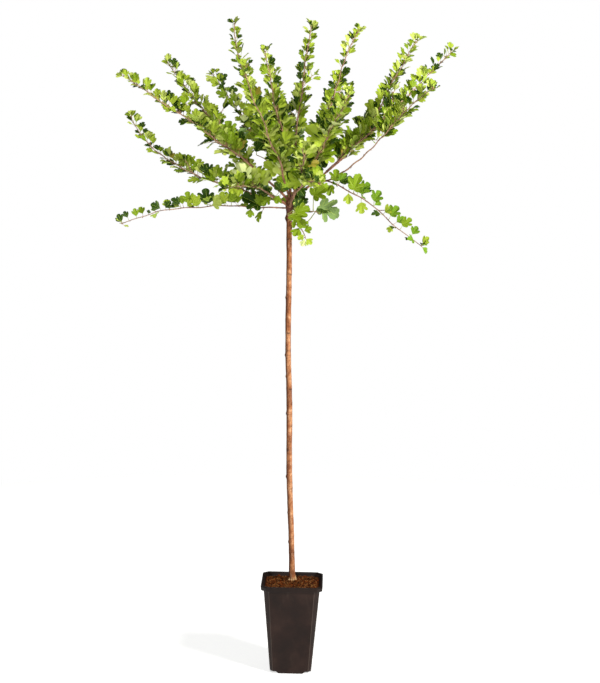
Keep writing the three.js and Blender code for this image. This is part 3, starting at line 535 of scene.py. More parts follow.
WOOD = {
    "swell": 0.16,  # at each node, as a share of the radius
    "swell_power": 8,
    "collar": 0.2,  # where it leaves its parent, as a share of the radius
    "collar_length": 0.008,
    "old_until": 0.62,  # share of it up to which its bark is older
    "fewest_steps": 6,
    "twig_sides": 6,
    "twig_steps": 8,
    "tip": 0.5,  # how far a limb's end stands out, as a share of its radius
}
BUD = {
    "length": (0.0018, 0.0034),
    "width": 0.34,  # radius against length
    "sunk": 0.8,
    "forward": 0.9,
    "spined": 0.45,  # share of the buds with a spine under them
    "spine": 1.7,  # length of the spine against the bud's
    "spine_radius": 0.0005,
    "spine_below": 0.001,
    "spine_back": 0.25,
}
CONE = [(0.0, 0.7), (0.35, 1.0), (0.75, 0.55), (1.0, 0.12)]  # share of its length, and width
CONE_SIDES = 5
COLLAR = {
    "count": 26,
    "length": (0.006, 0.015),
    "width": 0.0013,
    "from": -0.003,  # the height of a flake's foot against the stem's
    "gap": 0.0002,
    "fray": 0.0016,
    "fray_least": 0.5,  # added to a draw from 0 to 1
    "spacing": 0.8,  # how unevenly the flakes stand
    "sides": 5,
}
COLLAR_TAPER = [0.7, 0.8, 0.6, 0.4, 0.12]

# ---------------------------------------------------------------- vectors, chance and curves

SEEDS = {"leaves": 1000, "wood": 2000, "crumbs": 77, "flakes": 91}
DIVISIONS = {"trunk": 400, "shoot": 300, "base": 200, "twig": 200}  # of a curve, to measure it
UP = np.array([0.0, 0.0, 1.0])
RIGHT = np.array([1.0, 0.0, 0.0])
TURN = 2 * math.pi


def unit(vector):
    return vector / math.sqrt(vector.dot(vector))


def mix(a, b, share):
    return a + (b - a) * share


def smooth(low, high, value):
    share = np.clip((value - low) / (high - low), 0, 1)
    return share * share * (3 - 2 * share)


def beside(way):
    """A direction across a way, level unless the way is steep."""
    return unit(np.cross(RIGHT if abs(way[2]) > 0.9 else UP, way))


def direction(azimuth, slope):
    a, s = math.radians(azimuth), math.radians(slope)
    return np.array([math.cos(s) * math.cos(a), math.cos(s) * math.sin(a), math.sin(s)])


def random_stream(seed):
    """A seeded stream of numbers from 0 to 1, the same as the solids' own."""
    state = (seed * 2654435761 + 12345) % 2**32

    def draw():
        nonlocal state
        state = (state * 1664525 + 1013904223) % 2**32
        return state / 2**32

    return draw


def between(draw, low, high):
    return mix(low, high, draw())


def scatter(draw):
    return np.array([draw() - 0.5, draw() - 0.5, draw() - 0.5])


class Curve:
    """A centre line that is read by the share of its length."""

    NUDGE = 0.0001

    def __init__(self, at, divisions):
        self.at = at
        self.shares = np.linspace(0, 1, divisions + 1)
        points = np.array([at(t) for t in self.shares])
        steps = np.linalg.norm(np.diff(points, axis=0), axis=1)
        self.lengths = np.concatenate([[0], np.cumsum(steps)])
        self.length = self.lengths[-1]

    def parameter(self, share):
        return float(np.interp(share * self.length, self.lengths, self.shares))

    def point(self, share):
        return self.at(self.parameter(share))

    def tangent(self, share):
        t = self.parameter(share)
        before, after = max(0, t - self.NUDGE), min(1, t + self.NUDGE)
        return unit(self.at(after) - self.at(before))


class Frame:
    """A place on a limb, with its direction and two directions across it."""

    def __init__(self, point, tangent, side, share=0.0):
        self.point, self.tangent, self.side, self.share = point, tangent, side, share
        self.over = np.cross(tangent, side)
        self.radius = 0


def limb_frames(curve, start, end, steps):
    frames, side = [], None
    for i in range(steps + 1):
        share = mix(start, end, i / steps)
        tangent = curve.tangent(share)
        if side is None:
            side = beside(tangent)
        else:
            side = unit(side - tangent * side.dot(tangent))
        frames.append(Frame(curve.point(share), tangent, side, share))
    return frames


# ---------------------------------------------------------------- trunk and shoots


def trunk_point(t):
    wave = TRUNK["waviness"] * math.sin(math.pi * t)
    foot = TRUNK["foot"]
    return np.array([
        foot[0] + TRUNK["lean"] * (1 - (1 - t) ** 2) + wave * math.sin(TRUNK["wave_x"] * t),
        foot[1] + wave * math.sin(TRUNK["wave_y"] * t + 1),
        mix(foot[2] - TRUNK["offcut"], TRUNK["fork"], t),
    ])


def trunk_share(height):
    bottom = TRUNK["foot"][2] - TRUNK["offcut"]
    return (height - bottom) / (TRUNK["fork"] - bottom)


def trunk_radius(share):
    height = mix(-TRUNK["offcut"], TRUNK["fork"] - TRUNK["foot"][2], share)
    flare = math.exp(-height / TRUNK["flare"] * TRUNK["flare_fade"])
    graft = (TRUNK["foot"][2] + height - TRUNK["graft"]) / TRUNK["graft_spread"]
    return (
        mix(TRUNK["radius"], TRUNK["fork_radius"], share)
        + (TRUNK["foot_radius"] - TRUNK["radius"]) * flare
        + TRUNK["graft_swell"] * math.exp(-graft * graft)
    )


def cubic(p0, p1, p2, p3):
    def at(t):
        s = 1 - t
        return s**3 * p0 + 3 * s * s * t * p1 + 3 * s * t * t * p2 + t**3 * p3

    return at


class Shoot:
    """A leafy shoot of the table, with its centre line, its thickness and its own chance."""

    def __init__(self, number, row, grown, trunk):
        (self.name, self.on, start, azimuth, reach, rise, leave, arrive, swing,
         self.bare, self.gap) = row
        self.number = number
        self.draw = random_stream(number + 1)
        self.heart = self.bare == 0
        on_trunk = self.on == "trunk"
        parent = trunk if on_trunk else grown[self.on].curve
        foot = parent.point(trunk_share(start) if on_trunk else start)
        tip = foot + reach * direction(azimuth, 0) + rise * UP
        handle = LIMB["pull"] * np.linalg.norm(tip - foot)
        base = cubic(
            foot,
            foot + handle * direction(azimuth - swing, leave),
            tip - handle * direction(azimuth + swing, arrive),
            tip,
        )
        length = Curve(base, DIVISIONS["base"]).length
        across = direction(azimuth + 90, 0)
        phase = self.draw() * TURN

        def at(t):
            envelope = min(1, LIMB["ease_ends"] * t) * min(1, LIMB["ease_ends"] * (1 - t))
            bow = LIMB["bow"] * math.sin(TURN * length / LIMB["bow_length"] * t + phase)
            kink = LIMB["zigzag"] * math.sin(math.pi * length / self.gap * t)
            point = base(t) + across * envelope * (bow + kink)
            point[2] += envelope * (LIMB["bow_lift"] * bow - kink)
            return point

        self.curve = Curve(at, DIVISIONS["shoot"])
        self.length = self.curve.length
        kind = "heart" if self.heart else "weak" if rise < 0 else "main" if on_trunk else "side"
        self.start_radius = LIMB[f"{kind}_radius"]

    def radius(self, share):
        return mix(self.start_radius, LIMB["tip_radius"], share ** LIMB["taper"])


def grow_shoots(trunk):
    grown = {}
    for number, row in enumerate(SHOOTS):
        grown[row[0]] = Shoot(number, row, grown, trunk)
    return grown


# ---------------------------------------------------------------- the rule that places leaves

SOLID_LOBED = [(-0.4, 0), (0.22, 0.48), (0.56, 0.22), (1, 0)]
SOLID_YOUNG = [(-0.4, 0), (0.45, 0.42), (1, 0)]


class Limbs:
    """Points along every limb, by which each mass keeps to the space round its own stem."""

    def __init__(self, trunk, shoots):
        points, radii, names, shares = [], [], [], []
        rows = [("trunk", trunk, trunk_radius)]
        rows += [(shoot.name, shoot.curve, shoot.radius) for shoot in shoots.values()]
        for name, curve, radius in rows:
            count = math.ceil(curve.length / SPACE["step"])
            for i in range(count + 1):
                share = i / count
                points.append(curve.point(share))
                radii.append(radius(share))
                names.append(name)
                shares.append(share)
        self.points, self.radii = np.array(points), np.array(radii)
        self.names, self.shares = np.array(names), np.array(shares)

    def distances(self, points):
        gaps = np.linalg.norm(points[:, None, :] - self.points[None], axis=2)
        return gaps - self.radii

    def own(self, shoot):
        return (self.names == shoot.name) & (self.shares >= shoot.bare)

    def keeps_to(self, shoot, points):
        distances = self.distances(points)
        own = self.own(shoot)
        other = distances[:, ~own].min(axis=1)
        nearer = other - distances[:, own].min(axis=1)
        return bool((nearer > SPACE["margin"]).all() and (other > SPACE["margin"]).all())

    def clear_of_others(self, shoot, points):
        gaps = self.distances(points)[:, self.names != shoot.name]
        return bool(gaps.min() > SPACE["real_margin"])


def solid_leaf(outline, length, foot, along, face):
    """The rim and the middle of the one leaf that the solids have at a node."""
    rim = list(outline) + [(x, -y) for x, y in reversed(outline[1:-1])]
    across = unit(np.cross(face, along))
    base = foot - outline[0][0] * length * along
    rim = np.array([base + x * length * along + y * length * across for x, y in rim])
    return rim, base + LEAF["middle"] * length * along


def test_points(rim):
    outer = rim[1:]
    return np.concatenate([outer, (outer[1:] + outer[:-1]) / 2])


def blade_grid(rim, middle, shared):
    outer = rim[1:]
    grid = np.concatenate([outer, (outer + middle) / 2])
    return grid if shared else np.concatenate([grid, middle[None]])


def outward(place, angle, pull):
    """Away from a limb, and turned to the light above by as much as pull says."""
    out = place.side * math.cos(angle) + place.over * math.sin(angle)
    light = UP - place.tangent * place.tangent[2]
    return unit(out + light * pull)


class Mass:
    """One shoot's foliage: where the solids have a twig or a leaf."""

    def __init__(self, shoot, limbs):
        self.shoot, self.limbs, self.draw = shoot, limbs, shoot.draw
        self.lift = LEAF["droop"] if shoot.heart else LEAF["lift"]
        self.placed, self.sites, self.twigs = [], [], []

    def touches(self, rim, middle, node):
        for other_rim, other_middle, other_node in self.placed:
            shared = np.linalg.norm(node - other_node) < SPACE["same_node"]
            mine = blade_grid(rim, middle, shared)
            theirs = blade_grid(other_rim, other_middle, shared)
            gaps = np.linalg.norm(mine[:, None] - theirs[None], axis=2)
            if gaps.min() < SPACE["leaf_gap"]:
                return True
        return False

    def leaf(self, place, angle, length, outline, kind):
        for attempt in range(LEAF["tries"]):
            turned = angle + attempt * math.radians(LEAF["turn"] / 2)
            size = length * LEAF["shrink"] ** attempt
            along = unit(
                place.tangent * LEAF["forward"]
                + outward(place, turned, LEAF["light"]) * LEAF["spread"]
                + UP * self.lift
            )
            loose = np.array([self.draw() for _ in range(3)]) - LEAF["face_lean"]
            face = UP + place.tangent * LEAF["face_forward"] + loose * LEAF["face_scatter"]
            foot = place.point - along * LEAF["sunk"] * place.radius
            rim, middle = solid_leaf(outline, size, foot, along, face)
            if not self.limbs.keeps_to(self.shoot, test_points(rim)):
                continue
            if self.touches(rim, middle, place.point):
                continue
            self.placed.append((rim, middle, place.point))
            self.sites.append({
                "place": place, "angle": turned, "size": size, "face": face, "kind": kind,
            })
            return

    def twig(self, place, angle, leaf_length):
        length = mix(TWIG["shortest"], TWIG["longest"], self.draw())
        aim = unit(
            place.tangent * TWIG["forward"]
            + outward(place, angle, LEAF["light"]) * TWIG["spread"]
        )
        foot = place.point - aim * TWIG["sunk"] * place.radius
        tip = foot + aim * length
        bend = (foot + tip) / 2 - UP * TWIG["sag"] * length

        def at(t):
            return (1 - t) ** 2 * foot + 2 * (1 - t) * t * bend + t * t * tip

        curve = Curve(at, DIVISIONS["twig"])
        if not self.limbs.keeps_to(self.shoot, np.array([curve.point(0.5), tip])):
            return
        self.twigs.append(curve)
        for i in range(1, TWIG["leaves"] + 1):
            share = TWIG["last_node"] * i / TWIG["leaves"]
            node = limb_frames(curve, 0, share, 1)[1]
            node.radius = mix(TWIG["radius"], TWIG["tip_radius"], share)
            turned = angle + i * math.radians(LEAF["turn"])
            self.leaf(node, turned, leaf_length * TWIG["leaf_size"], SOLID_YOUNG, "twig")

    def grow(self):
        shoot = self.shoot
        start = shoot.bare + MASS_ENDS["clear"] / shoot.length
        end = 1 - MASS_ENDS["tip"] / shoot.length
        nodes = max(2, round_half_up(shoot.length * (1 - shoot.bare) / shoot.gap))
        self.frames = frames = limb_frames(shoot.curve, start, end, nodes)
        angle = self.draw() * TURN
        for number, place in enumerate(frames):
            share = number / nodes
            fade = share ** LEAF["fade"]
            size = LEAF["large"] if shoot.heart else mix(LEAF["large"], LEAF["small"], fade)
            length = size * mix(LEAF["shortest"], LEAF["longest"], self.draw())
            place.radius = shoot.radius(place.share)
            twiggy = not shoot.heart and number % TWIG["every"] == 0 and share < TWIG["until"]
            angle += math.radians(LEAF["turn"])
            if number == nodes:
                for i in range(LEAF["tip_cluster"]):
                    turned = angle + i * TURN / LEAF["tip_cluster"]
                    self.leaf(place, turned, LEAF["small"], SOLID_YOUNG, "tip")
            elif number > 0 and twiggy:
                self.twig(place, angle, length)
            elif number > 0:
                lobed = length > LEAF["lobed_from"]
                self.leaf(place, angle, length, SOLID_LOBED if lobed else SOLID_YOUNG, "shoot")
        return self


def round_half_up(value):
    return math.floor(value + 0.5)


# ---------------------------------------------------------------- meshes


class Bag:
    """Collects points and faces for one mesh."""

    def __init__(self):
        self.points, self.faces, self.looks, self.sharp, self.count = [], [], [], [], 0
        self.values = {}

    def add(self, points, faces, look=0, sharp=None, **values):
        """look is one material number or one for each face, and sharp the points of a rim."""
        points = np.asarray(points, float).reshape(-1, 3)
        self.faces += [tuple(i + self.count for i in face) for face in faces]
        self.looks += [look] * len(faces) if isinstance(look, int) else list(look)
        flags = np.zeros(len(points), bool)
        if sharp is not None:
            flags[sharp] = True
        self.sharp.append(flags)
        for name, value in values.items():
            self.values.setdefault(name, []).append(np.broadcast_to(value, len(points)))
        self.points.append(points)
        self.count += len(points)

    def piece(self, name, materials):
        mesh = bpy.data.meshes.new(name)
        mesh.from_pydata(np.concatenate(self.points).tolist(), [], self.faces)
        mesh.update(calc_edges=True)
        mesh.polygons.foreach_set("material_index", self.looks)
        mesh.polygons.foreach_set("use_smooth", [True] * len(mesh.polygons))
        ends = np.empty(len(mesh.edges) * 2, int)
        mesh.edges.foreach_get("vertices", ends)
        flags = np.concatenate(self.sharp)[ends.reshape(-1, 2)]
        mesh.edges.foreach_set("use_edge_sharp", flags.all(axis=1))
        for key, parts in self.values.items():
            layer = mesh.attributes.new(key, "FLOAT", "POINT")
            layer.data.foreach_set("value", np.concatenate(parts).astype(np.float32))
        for material in materials:
            mesh.materials.append(material)
        mesh.update()
        piece = bpy.data.objects.new(name, mesh)
        bpy.context.scene.collection.objects.link(piece)
        return piece


def loft_faces(rings, sides):
    """Faces through rings of points, whose first and last points are the middles of the ends."""
    last = rings * sides + 1
    faces = []
    for ring in range(rings - 1):
        for i in range(sides):
            a = 1 + ring * sides + i
            b = 1 + ring * sides + (i + 1) % sides
            faces.append((a, b, b + sides, a + sides))
    top = 1 + (rings - 1) * sides
    for i in range(sides):
        j = (i + 1) % sides
        faces.append((0, 1 + j, 1 + i))
        faces.append((last, top + i, top + j))
    return faces


def loft(bag, first, rings, last, **values):
    """Joins rings of equal counts, from one end's middle to the other's."""
    spread = {name: np.concatenate([[0.0], *rows, [0.0]]) for name, rows in values.items()}
    faces = loft_faces(len(rings), len(rings[0]))
    bag.add(np.concatenate([[first], *rings, [last]]), faces, 0, **spread)


def grain(points, across, along):
    """Noise from -1 to 1 that is drawn out along +Z."""
    return np.array([
        noise.noise(Vector((x * across, y * across, z * along))) for x, y, z in points
    ])


def bark_relief(points, layers):
    """How far each point is raised by layers of noise."""
    return sum(grain(points, across, along) * height for across, along, height in layers)


def tube(bag, frames, radii, sides, layers=(), look=0, **values):
    """A round limb through frames, with layers of relief where it has any."""
    angles = np.arange(sides) * TURN / sides
    rings = []
    for place, radius in zip(frames, radii):
        ways = np.outer(np.cos(angles), place.side) + np.outer(np.sin(angles), place.over)
        ring = place.point + ways * radius
        if layers:
            ring = ring + ways * bark_relief(ring, layers)[:, None]
        rings.append(ring)
    end = frames[-1].point + frames[-1].tangent * radii[-1] * WOOD["tip"]
    points = np.concatenate([[frames[0].point], *rings, [end]])
    spread = {}
    for name, value in values.items():
        per_ring = np.repeat(np.broadcast_to(value, len(frames)), sides)
        spread[name] = np.concatenate([per_ring[:1], per_ring, per_ring[-1:]])
    bag.add(points, loft_faces(len(frames), sides), look, **spread)


# ---------------------------------------------------------------- materials


def linear(red, green, blue):
    """A colour as screens give it, from 0 to 255, in the shader's own scale."""
    channels = [value / 255 for value in (red, green, blue)]
    return tuple(
        c / 12.92 if c <= 0.04045 else ((c + 0.055) / 1.055) ** 2.4 for c in channels
    ) + (1.0,)


class Look:
    """A material and short ways to add nodes to it."""

    def __init__(self, name, colour, roughness=0.6, specular=0.5):
        self.material = bpy.data.materials.new(name)
        self.material.use_nodes = True
        self.tree = self.material.node_tree
        self.shader = next(n for n in self.tree.nodes if n.type == "BSDF_PRINCIPLED")
        self.shader.inputs["Base Color"].default_value = linear(*colour)
        self.shader.inputs["Roughness"].default_value = roughness
        self.shader.inputs["Specular IOR Level"].default_value = specular
        self.material.diffuse_color = linear(*colour)
        self.places = self.node("ShaderNodeTexCoord").outputs["Object"]

    def node(self, kind, **settings):
        node = self.tree.nodes.new(kind)
        for name, value in settings.items():
            setattr(node, name, value)
        return node

    def link(self, source, target):
        self.tree.links.new(source, target)

    def stretched(self, scale):
        mapping = self.node("ShaderNodeMapping")
        mapping.inputs["Scale"].default_value = scale
        self.link(self.places, mapping.inputs["Vector"])
        return mapping.outputs["Vector"]

    def noise(self, scale, detail=4, stretch=None, roughness=0.55):
        node = self.node("ShaderNodeTexNoise")
        node.inputs["Scale"].default_value = scale
        node.inputs["Detail"].default_value = detail
        node.inputs["Roughness"].default_value = roughness
        source = self.places if stretch is None else self.stretched(stretch)
        self.link(source, node.inputs["Vector"])
        return node.outputs["Fac"]

    def ramp(self, value, stops):
        node = self.node("ShaderNodeValToRGB")
        elements = node.color_ramp.elements
        for place, colour in stops[1:-1]:
            elements.new(place).color = linear(*colour)
        elements[0].position, elements[0].color = stops[0][0], linear(*stops[0][1])
        elements[-1].position, elements[-1].color = stops[-1][0], linear(*stops[-1][1])
        self.link(value, node.inputs["Fac"])
        return node.outputs["Color"]

    def spread(self, value, low, high, to_low, to_high):
        node = self.node("ShaderNodeMapRange")
        for name, number in (
            ("From Min", low), ("From Max", high), ("To Min", to_low), ("To Max", to_high),
        ):
            node.inputs[name].default_value = number
        self.link(value, node.inputs["Value"])
        return node.outputs["Result"]

    def blend(self, share, first, second):
        node = self.node("ShaderNodeMix", data_type="RGBA")
        self.link(share, node.inputs["Factor"])
        for source, target in ((first, node.inputs[6]), (second, node.inputs[7])):
            if isinstance(source, tuple):
                target.default_value = linear(*source)
            else:
                self.link(source, target)
        return node.outputs[2]

    def attribute(self, name):
        return self.node("ShaderNodeAttribute", attribute_name=name).outputs["Fac"]

    def colour(self, source):
        self.link(source, self.shader.inputs["Base Color"])
        return self

    def roughness(self, value, low, high):
        self.link(self.spread(value, 0.3, 0.7, low, high), self.shader.inputs["Roughness"])
        return self

    def bump(self, value, depth, strength=1.0):
        node = self.node("ShaderNodeBump")
        node.inputs["Strength"].default_value = strength
        node.inputs["Distance"].default_value = depth
        self.link(value, node.inputs["Height"])
        self.link(node.outputs["Normal"], self.shader.inputs["Normal"])
        return self


def stem_bark():
    look = Look("stem_bark", (160, 100, 58), 0.72, 0.3)
    patches = look.noise(30, 3, (1, 1, 0.6))
    fibres = look.noise(560, 5, (1, 1, 0.09), 0.7)
    flecks = look.noise(230, 4, (1, 1, 0.35), 0.65)
    bands = look.noise(300, 3, (0.2, 0.2, 1.4))
    base = look.ramp(patches, [
        (0.36, (112, 54, 22)), (0.46, (158, 92, 46)), (0.55, (202, 144, 98)), (0.66, (144, 76, 36)),
    ])
    streaks = look.ramp(fibres, [
        (0.34, (82, 44, 24)), (0.47, (160, 102, 62)), (0.62, (214, 162, 122)),
    ])
    base = look.blend(look.spread(fibres, 0.3, 0.7, 0.2, 0.42), base, streaks)
    base = look.blend(look.spread(bands, 0.5, 0.66, 0.0, 0.4), base, (92, 48, 26))
    base = look.blend(look.spread(flecks, 0.55, 0.66, 0.0, 0.55), base, (232, 186, 146))
    base = look.blend(look.spread(flecks, 0.43, 0.33, 0.0, 0.65), base, (66, 34, 16))
    # Painted shade: the stem's darker side is blended toward dark brown.
    painted_lighting = look.spread(look.attribute("weather"), 0.0, 1.0, 0.0, 0.85)
    base = look.blend(painted_lighting, base, (78, 36, 10))
    base = look.blend(look.attribute("graft"), base, (84, 50, 44))
    # Dark marks under the knots: partly bud scars, partly painted shade.
    base = look.blend(look.attribute("scar"), base, (30, 16, 10))
    look.colour(base).roughness(fibres, 0.62, 0.9).bump(fibres, 0.0005)
    return look.material


def shoot_bark():
    look = Look("shoot_bark", (150, 112, 92), 0.7, 0.35)
    fibres = look.noise(700, 4, (1, 1, 0.5), 0.6)
    patches = look.noise(40, 3)
    old = look.ramp(patches, [(0.35, (96, 54, 34)), (0.52, (176, 118, 80)), (0.68, (130, 78, 54))])
    young = look.ramp(patches, [
        (0.35, (146, 106, 88)), (0.52, (208, 168, 138)), (0.68, (168, 138, 104)),
    ])
    base = look.blend(look.attribute("age"), young, old)
    base = look.blend(look.spread(fibres, 0.4, 0.62, 0.75, 0.0), base, (70, 42, 34))
    look.colour(base).roughness(fibres, 0.5, 0.8).bump(fibres, 0.0003)
    return look.material


def pot_plastic():
    look = Look("pot_plastic", (36, 24, 20), 0.45, 0.14)
    pimples = look.noise(1400, 2)
    clouds = look.noise(16, 4)
    dust = look.noise(60, 5, (1, 1, 0.3))
    base = look.ramp(clouds, [(0.34, (26, 17, 14)), (0.5, (34, 22, 18)), (0.66, (44, 30, 25))])
    base = look.blend(look.spread(dust, 0.6, 0.85, 0.0, 0.2), base, (80, 68, 58))
    # Painted shade: the band, the rim and the inside of the pot are darkened.
    shaded = look.spread(look.attribute("band"), 0.0, 1.0, 0.0, 0.45)
    base = look.blend(shaded, base, (12, 7, 5))
    # Painted highlight down the long edges of the cut corners.
    base = look.blend(look.attribute("edge"), base, (104, 92, 84))
    look.colour(base).roughness(clouds, 0.36, 0.52).bump(pimples, 0.00008, 0.6)
    return look.material


def compost(name, dark, mid, light, scale=160):
    look = Look(name, mid, 0.95, 0.05)
    lumps = look.noise(scale, 6, None, 0.65)
    look.colour(look.ramp(lumps, [(0.32, dark), (0.5, mid), (0.68, light)]))
    look.roughness(lumps, 0.85, 1.0).bump(lumps, 0.0012)
    return look.material


def leaf_face(name, colour, roughness):
    """Plain in colour, with the small unevenness of a leaf's skin."""
    look = Look(name, colour, roughness, 0.18)
    skin = look.noise(650, 3)
    look.roughness(skin, roughness - 0.07, roughness + 0.1).bump(skin, 0.00035, 0.5)
    return look.material


def leaf_materials():
    """Every leaf material in one order, and the number of each by its name."""
    made = [leaf_face(f"leaf_{name}", colour, 0.55) for name, colour in TOPS.items()]
    made += [leaf_face(f"leaf_under_{name}", colour, 0.62) for name, colour in UNDERSIDES.items()]
    made += [leaf_face(f"leaf_{name}", colour, 0.5) for name, colour in STALKS.items()]
    made.append(leaf_face("leaf_vein", VEIN, 0.5))
    names = [*TOPS, *UNDERSIDES, *STALKS, "vein"]
    return made, {name: number for number, name in enumerate(names)}


# ---------------------------------------------------------------- leaves


class Blade:
    """A leaf outline as points and faces, for a blade one unit long that lies flat."""

    def __init__(self, shape, rings):
        hub = np.array([shape["hub"], 0.0])
        half = shape["half"]
        around = [(x, y, v) for x, y, v in half]
        around += [(x, -y, v) for x, y, v in reversed(half[1:-1])]
        spokes = []  # the ends of the rays, and which way each is set off beside a vein
        for x, y, vein in around:
            spokes += [((x, y), -1), ((x, y), 1)] if vein else [((x, y), 0)]
        self.on_vein = [
            spokes[i][1] == -1 and spokes[(i + 1) % len(spokes)][1] == 1
            for i in range(len(spokes))
        ]
        self.count = len(spokes)
        self.levels = [*rings, 1.0]
        points = [hub]
        for level in self.levels:
            for (x, y), beside in spokes:
                end = np.array([x, y])
                way = (end - hub) / np.linalg.norm(end - hub)
                width = BLADE["vein_width"] * (1 - BLADE["vein_taper"] * level)
                points.append(
                    hub + (end - hub) * level + np.array([way[1], -way[0]]) * beside * width
                )
        self.flat = np.array(points)
        self.inner = 1 + self.count * len(rings)
        out = self.flat - hub
        self.reach = np.linalg.norm(out, axis=1)
        turn = np.degrees(np.arctan2(out[:, 1], out[:, 0]))
        ends = [math.degrees(math.atan2(y, x - hub[0])) for x, y, vein in half if vein]
        counts = np.interp(np.abs(turn), ends[::-1], range(len(ends)))
        self.between_veins = 0.5 - 0.5 * np.cos(TURN * counts)
        self.turn = np.radians(turn)
        self.faces, self.vein_faces = self.make_faces()

    def make_faces(self):
        """Upper faces, then lower ones. Both share the rim, and the rest is doubled."""
        faces, veins = [], []
        rim = range(self.inner, self.inner + self.count)
        doubled = {i: self.inner + self.count + i for i in range(self.inner)}
        for lower in (False, True):
            for i in range(self.count):
                j = (i + 1) % self.count
                loops = [(0, 1 + j, 1 + i)]
                for level in range(len(self.levels) - 1):
                    a, b = 1 + level * self.count, 1 + (level + 1) * self.count
                    loops.append((a + i, a + j, b + j, b + i))
                for loop in loops:
                    if lower:
                        loop = tuple(p if p in rim else doubled[p] for p in reversed(loop))
                    faces.append(loop)
                    veins.append(self.on_vein[i])
        return faces, veins

    def add(self, bag, base, along, face, length, draw, looks):
        """One leaf with its blade's foot at base. looks are its upper, lower and vein look."""
        across = unit(np.cross(face, along))
        normal = np.cross(along, across)
        x = self.flat[:, 0]
        y = self.flat[:, 1] * between(draw, *BLADE["wider"])
        z = np.abs(y) * between(draw, *BLADE["fold"])
        z = z - between(draw, *BLADE["arch"]) * np.clip(x - BLADE["arch_from"], 0, 2) ** 2
        z += between(draw, *BLADE["puff"]) * self.reach * self.between_veins
        z += BLADE["wave"] * self.reach**2 * np.sin(BLADE["waves"] * self.turn + draw() * TURN)
        x = x + (draw() - 0.5) * BLADE["skew"] * y
        half = BLADE["thickness"] / 2
        upper = base + length * (
            np.outer(x, along) + np.outer(y, across) + np.outer(z, normal)
        )
        lower = upper[: self.inner] - normal * half
        upper[: self.inner] += normal * half
        top, under, vein = looks
        numbers = []
        for number, on_vein in enumerate(self.vein_faces):
            below = number >= len(self.vein_faces) // 2
            numbers.append(vein if on_vein else under if below else top)
        rim = np.arange(self.inner, self.inner + self.count)
        bag.add(np.concatenate([upper, lower]), self.faces, numbers, rim)


BLADES = {
    "broad": Blade(BROAD, [0.4, 0.75]),
    "lobed": Blade(LOBED, [0.55]),
    "fan": Blade(FAN, [0.55]),
}


def blade_for(length):
    if length > BLADE["broad_from"]:
        return BLADES["broad"]
    return BLADES["fan"] if length < BLADE["fan_below"] else BLADES["lobed"]


def add_stalk(bag, foot, base, length, look):
    """The stalk of a leaf, from inside its shoot to a little way under its blade."""
    run = base - foot
    middle = foot + run * 0.5 - UP * STALK["sag"] * np.linalg.norm(run)
    radius = max(STALK["thinnest"], STALK["thickness"] * length)
    tangent = unit(run)
    end = base + tangent * STALK["under"] * length
    frames = [Frame(point, tangent, beside(tangent)) for point in (foot, middle, end)]
    tube(bag, frames, [radius * share for share in STALK["taper"]], STALK["sides"], look=look)


